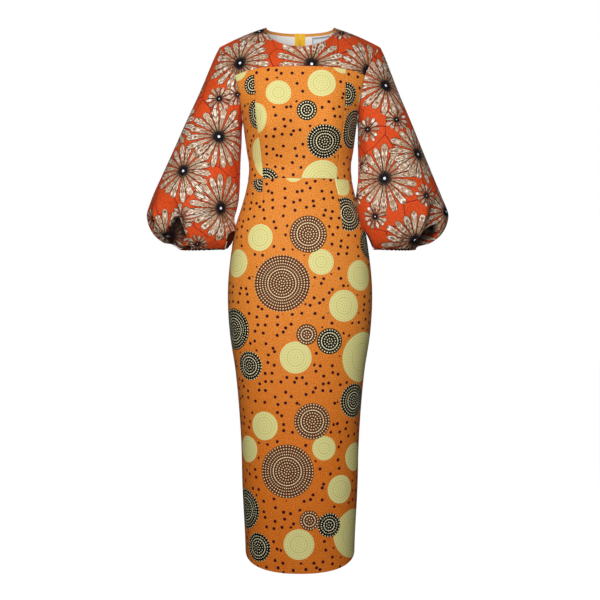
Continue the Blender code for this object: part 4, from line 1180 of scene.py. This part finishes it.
def makeBodice():
    gap = body["seam"] / 2
    quarter = math.pi / 2
    trim = body["seam"] / body["sideDepth"]
    grid = facingOut(bodiceGrid("front", princess(-gap, -1.0), princess(-gap), 86), [0, 0, -0.25])
    grid = seamDip(creases(grid, bodiceCreases), ("left", "right", "low", "high"))
    motifs = placed(grid, normalsOf(grid), centreDiscs)
    dressPiece("bodiceCentreFront", "bodice_center_front", "dotted_print", grid, [dotted, reverse], motifs,
               ["front_yoke"])

    sideFront = bodiceGrid("front", princess(gap), constant(quarter - trim, 1.0), 40)
    for side in ("left", "right"):
        grid = facingOut(sideFront if side == "left" else mirrored(sideFront), [0, 0, -0.25])
        grid = seamDip(creases(grid, bodiceCreases), ("left", "right", "low", "high"))
        motifs = placed(grid, normalsOf(grid), sideDiscs[side])
        dressPiece("bodiceSideFront" + side.capitalize(), "bodice_side_front_" + side, "dotted_print", grid,
                   [dotted, reverse], motifs, ["front_yoke"])

    grid = bothHalves(shoulder("front", edgeSpaced(52), edgeSpaced(84)))
    grid[0, :, 2] += body["seam"]
    grid[-1, :, 1] -= body["seam"]
    grid = facingOut(grid, [0, 0.05, -0.2])
    grid = seamDip(grid, ("left", "right", "low"))
    normals = normalsOf(grid)
    motifs = placed(grid, normals, yokeFlowers)
    motifs = scattered(grid, normals, motifs, flowerSizes, scatter["yokeGap"], scatter["yoke"],
                       onlyBehind=True)
    dressPiece("frontYoke", "front_yoke", "flower_print", grid, [flowered, reverse], named(motifs),
               ["bodice_center_front"])

    low = bodiceGrid("back", constant(trim, 0.0045), constant(quarter - trim, 1.0), 76, 46, 50)
    high = shoulder("back", edgeSpaced(52), edgeSpaced(76, 0.0045, 1.0))
    backHalf = np.concatenate([low, high[1:]])
    for side in ("left", "right"):
        grid = facingOut(backHalf if side == "left" else mirrored(backHalf), [0, -0.05, -0.25])
        grid = seamDip(creases(grid, bodiceCreases), ("left", "right", "low"))
        seed = scatter["back" + side.capitalize()]
        motifs = scattered(grid, normalsOf(grid), [], discSizes, scatter["discGap"], seed)
        dressPiece("backBodice" + side.capitalize(), "back_bodice_" + side, "dotted_print", grid,
                   [dotted, reverse], motifs, ["front_yoke"])


# the sleeves

# flowers: x, y and radius in the photograph's pixels, and 0 until named() numbers them
yokeFlowers = ((239.5, 63, 35, 0), (311.2, 63.9, 36, 0), (367.1, 71.4, 34, 0), (258.5, 31.2, 26, 0),
               (341, 33, 13, 0))
sleeveFlowers = {  # the wearer's right sleeve is on the photograph's left
    "right": ((218.4, 136.5, 34, 0), (182.7, 170.9, 33, 0), (220.4, 208.2, 35, 0), (165.7, 237, 29, 0),
              (218.7, 98.7, 15, 0), (181.9, 218.1, 15, 0), (150, 193, 13, 0), (237, 94.6, 12, 0),
              (239.5, 60, 35, 0), (197, 244, 11, 0), (153, 219, 13, 0)),
    "left": ((385.4, 85.5, 34, 0), (417.4, 154.3, 32, 0), (384, 178.3, 36, 0), (414.6, 240.2, 34, 0),
             (445.9, 211.5, 27, 0), (396.1, 119.5, 14, 0), (374.6, 216.5, 14, 0), (367.1, 129.4, 14, 0),
             (426, 195.7, 13, 0), (361.3, 165.9, 12, 0), (356, 197, 12, 0)),
}
flowerSizes = ((0.076, 0), (0.072, 0), (0.070, 0), (0.034, 0), (0.030, 0))
cuffs = {"top": -0.5015, "tall": 0.023, "inside": 0.0005, "crimp": 0.0005, "crimps": 40, "flower": 0.030,
         "tries": 400}


def named(motifs):  # each flower gets a number of its own, which sets its petals' lengths
    return [(centre, normal, radius, n + 1) for n, (centre, normal, radius, _) in enumerate(motifs)]


def makeSleeve(side):
    rows = np.concatenate([np.linspace(0, 8, 62)[:-1], np.linspace(8, 16, 96)[:-1], np.linspace(16, 18, 12)])
    turn = np.concatenate([np.linspace(0, math.pi, 201)[:-1], np.linspace(math.pi, 2 * math.pi, 91)[:-1]])
    grid, shade, before = sleeveGrid(side, rows, turn)
    if side == "right":
        grid, before = grid * np.array([-1, 1, 1]), before * np.array([-1, 1, 1])
    hanging, shade, before = grid[::-1], shade[::-1], before[::-1]
    grid = facingOut(hanging, hanging.mean(axis=1, keepdims=True), True)
    if grid is not hanging:
        shade, before = shade[:, ::-1], before[:, ::-1]
    normals = normalsOf(before, True)
    motifs = placed(before, normals, sleeveFlowers[side])
    first = scatter["sleeveFrom"]
    motifs = scattered(before[first:], normals[first:], motifs, flowerSizes, scatter["sleeveGap"],
                       scatter["sleeve"], onlyBehind=True)
    dressPiece("sleeve" + side.capitalize(), "sleeve_" + side, "flower_print", grid, [flowered, reverse],
               named(motifs), ["front_yoke"], "gathered", True, shade=shade, printOn=before)


def makeCuff(side):  # a crimped ring of two half ellipses inside the sleeve's end
    outer = sleeve["outerX"][-1] + sleeve["swing"][side][0]
    inner = sleeve["innerX"][-1] + sleeve["swing"][side][1]
    around = np.linspace(0, 2 * math.pi, 161)[None, :-1]
    up = np.linspace(0, 1, 14)[:, None]
    z = cuffs["top"] - cuffs["tall"] * (1 - up)
    depth = np.where(np.sin(around) > 0, sleeve["front"][-1], sleeve["back"][-1])
    wave = np.cos(cuffs["crimps"] * around) * np.sin(up * math.pi)
    crimp = cuffs["crimp"] * (wave - 1) - cuffs["inside"]
    x = (outer + inner) / 2 + ((outer - inner) / 2 + crimp) * np.cos(around)
    y = sleeve["centreY"] - (depth + crimp) * np.sin(around)
    cuff = np.stack(np.broadcast_arrays(x, y, z), axis=-1)
    if side == "right":
        cuff = cuff * np.array([-1, 1, 1])
    cuff = facingOut(cuff, cuff.mean(axis=1, keepdims=True), True)
    motifs = scattered(cuff, normalsOf(cuff, True), [], ((cuffs["flower"], 0),), scatter["cuffGap"],
                       scatter["cuff"], cuffs["tries"])
    dressPiece("cuff" + side.capitalize(), "cuff_" + side, "flower_print", cuff, [flowered, reverse],
               named(motifs), ["sleeve_" + side], "gathered", True)


# the trims at the back of the neck, and the zip

zipper = {
    "foot": -0.520,
    "inset": 0.0024,
    "tapeFrom": 0.0021,
    "tapeTo": 0.0127,
    "tapeThick": 0.0009,
    "tabRise": 0.0032,
    "toothPitch": 0.0025,
    "toothLong": 0.0036,
    "toothTall": 0.0010,
    "toothDeep": 0.0008,
    "bevel": 0.00025,
}
binding = {"from": 0.030, "to": 0.4995, "thick": 0.0005, "off": 0.0008, "over": 0.0016, "down": 0.048,
           "outside": (0.0014, 0.0006), "turn": 0.3}
label = {"rise": (0.7350, 0.9240), "share": (0.1200, 0.3430), "inset": 0.0024, "thick": 0.0006,
         "soft": 0.0003, "waves": 9.0}


def atDistances(grid, distances):
    # each row's points at given distances from the middle, read between its columns
    x = grid[..., 0]
    i = np.clip((x[:, None, :] < np.asarray(distances)[None, :, None]).sum(axis=2) - 1, 0, x.shape[1] - 2)
    near, far = (np.take_along_axis(grid, (i + k)[..., None], axis=1) for k in (0, 1))
    part = (np.asarray(distances)[None] - near[..., 0]) / (far[..., 0] - near[..., 0])
    return near + (far - near) * part[..., None]


def centreBack(distances):  # a strip up the middle of the back, from the zip's foot to the neckline
    z = np.linspace(zipper["foot"], body["underarm"], 90)[:-1, None]
    turn = np.linspace(0.0004, 0.35, 50)[None, :]
    share = np.linspace(0.0004, 0.2, 50)
    blocks = (ring("back", turn, z), chest("back", np.linspace(0, 1, 26)[:, None], share[None, :]),
              shoulder("back", np.linspace(0, 1, 34)[1:], share))
    return np.concatenate([atDistances(block, distances) for block in blocks])


def outOfBack(grid):  # the normals of a strip on the back, pointing out
    normals = normalsOf(grid)
    return normals * np.sign((normals * np.array([0.0, 1.0, 0.0])).sum(axis=2).mean())


def makeTapes():
    distances = np.linspace(zipper["tapeFrom"], zipper["tapeTo"], 8)
    strip = centreBack(distances)
    strip = strip - zipper["inset"] * outOfBack(strip)
    step = strip[-1] - strip[-2]
    step = step / np.linalg.norm(step, axis=1, keepdims=True)
    rises = np.linspace(0, zipper["tabRise"], 4)[1:, None, None]
    strip = np.concatenate([strip, strip[-1][None] + rises * step[None]])
    for side in ("left", "right"):
        grid = facingOut(strip if side == "left" else mirrored(strip), [0, 0, -0.25])
        dressPiece("zipTape" + side.capitalize(), "zip_tape_" + side, "zip_tape", grid, [tapeCloth], None,
                   ["back_bodice_" + side], thick=zipper["tapeThick"])
    return step[0]


def makeTeeth(step):
    # teeth up the middle of the back, by turns from each tape: rings of eight points swell from both ends of
    # a tooth to its middle, and three squares close each end
    line = centreBack([0.0, 0.001])
    outward = outOfBack(line)[:, 0]
    line = np.concatenate([line[:, 0], (line[-1, 0] + zipper["tabRise"] * step)[None]])
    outward = np.concatenate([outward, outward[-1:]])
    along = np.concatenate([[0], np.linalg.norm(np.diff(line, axis=0), axis=1).cumsum()])
    at = np.arange(zipper["toothPitch"], along[-1], zipper["toothPitch"] / 2)
    place = np.stack([np.interp(at, along, line[:, k]) for k in range(3)], axis=-1)
    out = np.stack([np.interp(at, along, outward[:, k]) for k in range(3)], axis=-1)
    up = np.gradient(place, axis=0)
    up = up / np.linalg.norm(up, axis=1, keepdims=True)
    place = place - out * (zipper["inset"] + zipper["toothDeep"])
    swing = np.where(np.arange(len(at)) % 2 == 0, 1.0, -1.0)[:, None, None]
    x = (np.array([-0.5, -0.35, 0.35, 0.5]) * zipper["toothLong"])[None, :, None] + swing * 0.0002
    size = np.array([0.45, 1.0, 1.0, 0.45])[None, :, None]
    round8 = np.arange(8)[None, None, :] * math.pi / 4
    tall, deep = zipper["toothTall"] / 2 * size * np.sin(round8), zipper["toothDeep"] * size * np.cos(round8)
    points = (place[:, None, None] + up[:, None, None] * tall[..., None]
              - out[:, None, None] * deep[..., None]
              + np.array([1.0, 0.0, 0.0]) * (x + 0 * tall)[..., None])
    k = np.arange(8)
    after = (k + 1) % 8
    sides = [np.stack([k, after, after + 8, k + 8], axis=-1) + 8 * r for r in range(3)]
    cap = np.array([[0, 7, 6, 1], [1, 6, 5, 2], [2, 5, 4, 3]])
    tooth = np.concatenate([*sides, cap, cap[:, ::-1] + 24])
    quads = (np.arange(len(at))[:, None, None] * 32 + tooth[None]).reshape(-1, 4)
    teeth = meshOf("zipTeeth", points.reshape(-1, 3), quads, [coil], np.zeros(len(quads)))
    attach(teeth, "dress")
    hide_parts("zip_chain")


def makeSlider():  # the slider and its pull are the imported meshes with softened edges
    for node, name, bodyName in (("zip_slider", "zipSlider", "dress"), ("zip_pull", "zipPull", "zip_pull")):
        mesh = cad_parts[node].data.copy()
        mesh.materials.clear()
        mesh.materials.append(brass)
        mesh.polygons.foreach_set("material_index", np.zeros(len(mesh.polygons), dtype=np.int32))
        piece = bpy.data.objects.new(name, mesh)
        bpy.context.scene.collection.objects.link(piece)
        weld = piece.modifiers.new("weld", "WELD")
        weld.merge_threshold = 0.00001
        soften = piece.modifiers.new("soft edges", "BEVEL")
        soften.width = zipper["bevel"]
        soften.segments = 3
        soften.limit_method = "ANGLE"
        soften.harden_normals = True
        mesh.shade_smooth()
        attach(piece, bodyName)
        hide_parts(node)


def makeBinding():
    # the binding folds over the neckline: up the outside, across the edge and down the inside
    shares = np.linspace(binding["from"], binding["to"], 60)
    rises = 1 - np.linspace(0, binding["down"], 8)
    panel = shoulder("back", rises[::-1], shares)[::-1]
    normals = outOfBack(panel)
    step = panel[0] - panel[1]
    up = step / np.linalg.norm(step, axis=1, keepdims=True)
    top, out = panel[0], normals[0]
    gap, cloth = binding["off"], body["cloth"]
    outside = [top + out * gap - up * down for down in binding["outside"]]
    over = []
    for a in np.linspace(binding["turn"], math.pi - binding["turn"], 6):
        off = gap * math.cos(a) - (cloth + 2 * gap) * (1 - math.cos(a)) / 2
        over.append(top + out * off + up * binding["over"] * math.sin(a))
    inside = [panel[i] - normals[i] * (cloth + gap) for i in range(len(panel))]
    grid = np.array([*outside, *over, *inside])[::-1]
    middle = (top - out * cloth / 2 - up * 0.003)[None]
    for side in ("left", "right"):
        turned, centre = (grid, middle) if side == "left" else (mirrored(grid), mirrored(middle))
        dressPiece("neckBinding" + side.capitalize(), "neck_binding_" + side, "binding",
                   facingOut(turned, centre), [bindingCloth], None, ["back_bodice_" + side], thick=binding["thick"])


def makeLabel():
    low, high = label["rise"]
    grid = shoulder("back", np.linspace(low, high, 26), np.linspace(*label["share"], 44))
    outward = outOfBack(grid)
    soft = label["soft"] * np.sin(np.linspace(0, label["waves"], 44))[None, :, None]
    grid = facingOut(grid - outward * (label["inset"] + soft), [0, -0.3, -0.1])
    grid = facingOut(grid, grid + outward)
    dressPiece("neckLabel", "neck_label", "label", grid, [labelCloth], None, ["back_bodice_left"],
               thick=label["thick"])


makeSkirt()
print("skirt made")
makeBodice()
print("bodice made")
for wearersSide in ("left", "right"):
    makeSleeve(wearersSide)
    makeCuff(wearersSide)
print("sleeves made")
makeTeeth(makeTapes())
makeSlider()
makeBinding()
makeLabel()
print("zip and trims made")


# lights, floor and camera

studio = {"floor": -1.46, "wide": 30.0, "paper": 0.99, "bounce": 0.06, "room": 0.07, "above": 0.17}
lamps = {  # place, what it points at, side, power in watts
    "key": ((-0.30, -1.70, -0.10), (0.0, 0.0, -0.42), 1.0, 30),
    "fill": ((1.0, -2.5, -0.1), (0.0, 0.0, -0.6), 1.3, 10),
    "top": ((0.0, -0.5, 1.6), (0.0, 0.0, -0.4), 1.0, 2),
    "behind": ((0.0, 3.0, 0.2), (0.0, 0.0, -0.6), 1.8, 50),
}


def seenOrLighting(tree, seen, lighting):
    # one shader where the camera looks straight at it, another where it lights things
    path = tree.nodes.new("ShaderNodeLightPath")
    mix = tree.nodes.new("ShaderNodeMixShader")
    tree.links.new(path.outputs["Is Camera Ray"], mix.inputs[0])
    tree.links.new(lighting, mix.inputs[1])
    tree.links.new(seen, mix.inputs[2])
    return mix.outputs[0]


def makeFloor():
    # a wide flat floor of pale paper that meets a pale room of the same brightness
    half = studio["wide"] / 2
    x = np.linspace(-half, half, 5)
    grid = np.stack(np.broadcast_arrays(x[None, :], x[:, None], np.full((1, 1), studio["floor"])), axis=-1)
    number = np.arange(25).reshape(5, 5)
    quads = gridQuads(number)
    paper = bpy.data.materials.new("pale paper")
    paper.use_nodes = True
    tree = paper.node_tree
    shader = tree.nodes["Principled BSDF"]
    shader.inputs["Base Color"].default_value = (studio["bounce"],) * 3 + (1.0,)
    shader.inputs["Roughness"].default_value = 1.0
    shader.inputs["Specular IOR Level"].default_value = 0.0
    glow = tree.nodes.new("ShaderNodeEmission")
    glow.inputs["Strength"].default_value = studio["paper"]
    both = tree.nodes.new("ShaderNodeAddShader")
    tree.links.new(shader.outputs[0], both.inputs[0])
    tree.links.new(glow.outputs[0], both.inputs[1])
    look = seenOrLighting(tree, both.outputs[0], shader.outputs[0])
    tree.links.new(look, tree.nodes["Material Output"].inputs["Surface"])
    floor = meshOf("floor", grid.reshape(-1, 3), quads, [paper], np.zeros(len(quads)))


def makeRoom():
    world = bpy.data.worlds.new("pale room")
    world.use_nodes = True
    tree = world.node_tree
    seen = tree.nodes["Background"]
    seen.inputs["Color"].default_value = (1.0, 1.0, 1.0, 1.0)
    seen.inputs["Strength"].default_value = 1.0
    lighting = tree.nodes.new("ShaderNodeBackground")
    f = Flow(tree)
    height = f.split(f.node("ShaderNodeTexCoord").outputs["Generated"])[2]
    f.put(lighting.inputs["Strength"], f.between(height, -0.1, 0.9, studio["room"], studio["above"]))
    look = seenOrLighting(tree, seen.outputs[0], lighting.outputs[0])
    tree.links.new(look, tree.nodes["World Output"].inputs["Surface"])
    bpy.context.scene.world = world


def makeLamps():
    for name, (place, aim, size, power) in lamps.items():
        light = bpy.data.lights.new(name, "AREA")
        light.size = size
        light.energy = power
        lamp = bpy.data.objects.new(name, light)
        direction = np.array(aim) - np.array(place)
        lamp.location = place
        lamp.rotation_euler = (math.acos(direction[2] / -np.linalg.norm(direction)), 0,
                               math.atan2(direction[1], direction[0]) - math.pi / 2)
        lamp.visible_camera = False
        bpy.context.scene.collection.objects.link(lamp)


def makeCamera():
    camera = bpy.data.cameras.new("camera")
    camera.sensor_width = 36.0
    camera.lens = 85.0
    eye = bpy.data.objects.new("camera", camera)
    eye.location = (0.0, -photo["distance"], photo["height"])
    eye.rotation_euler = (math.pi / 2, 0, 0)
    bpy.context.scene.collection.objects.link(eye)
    bpy.context.scene.camera = eye
    bpy.context.scene.view_settings.view_transform = "Standard"


makeFloor()
makeRoom()
makeLamps()
makeCamera()
print("scene made")
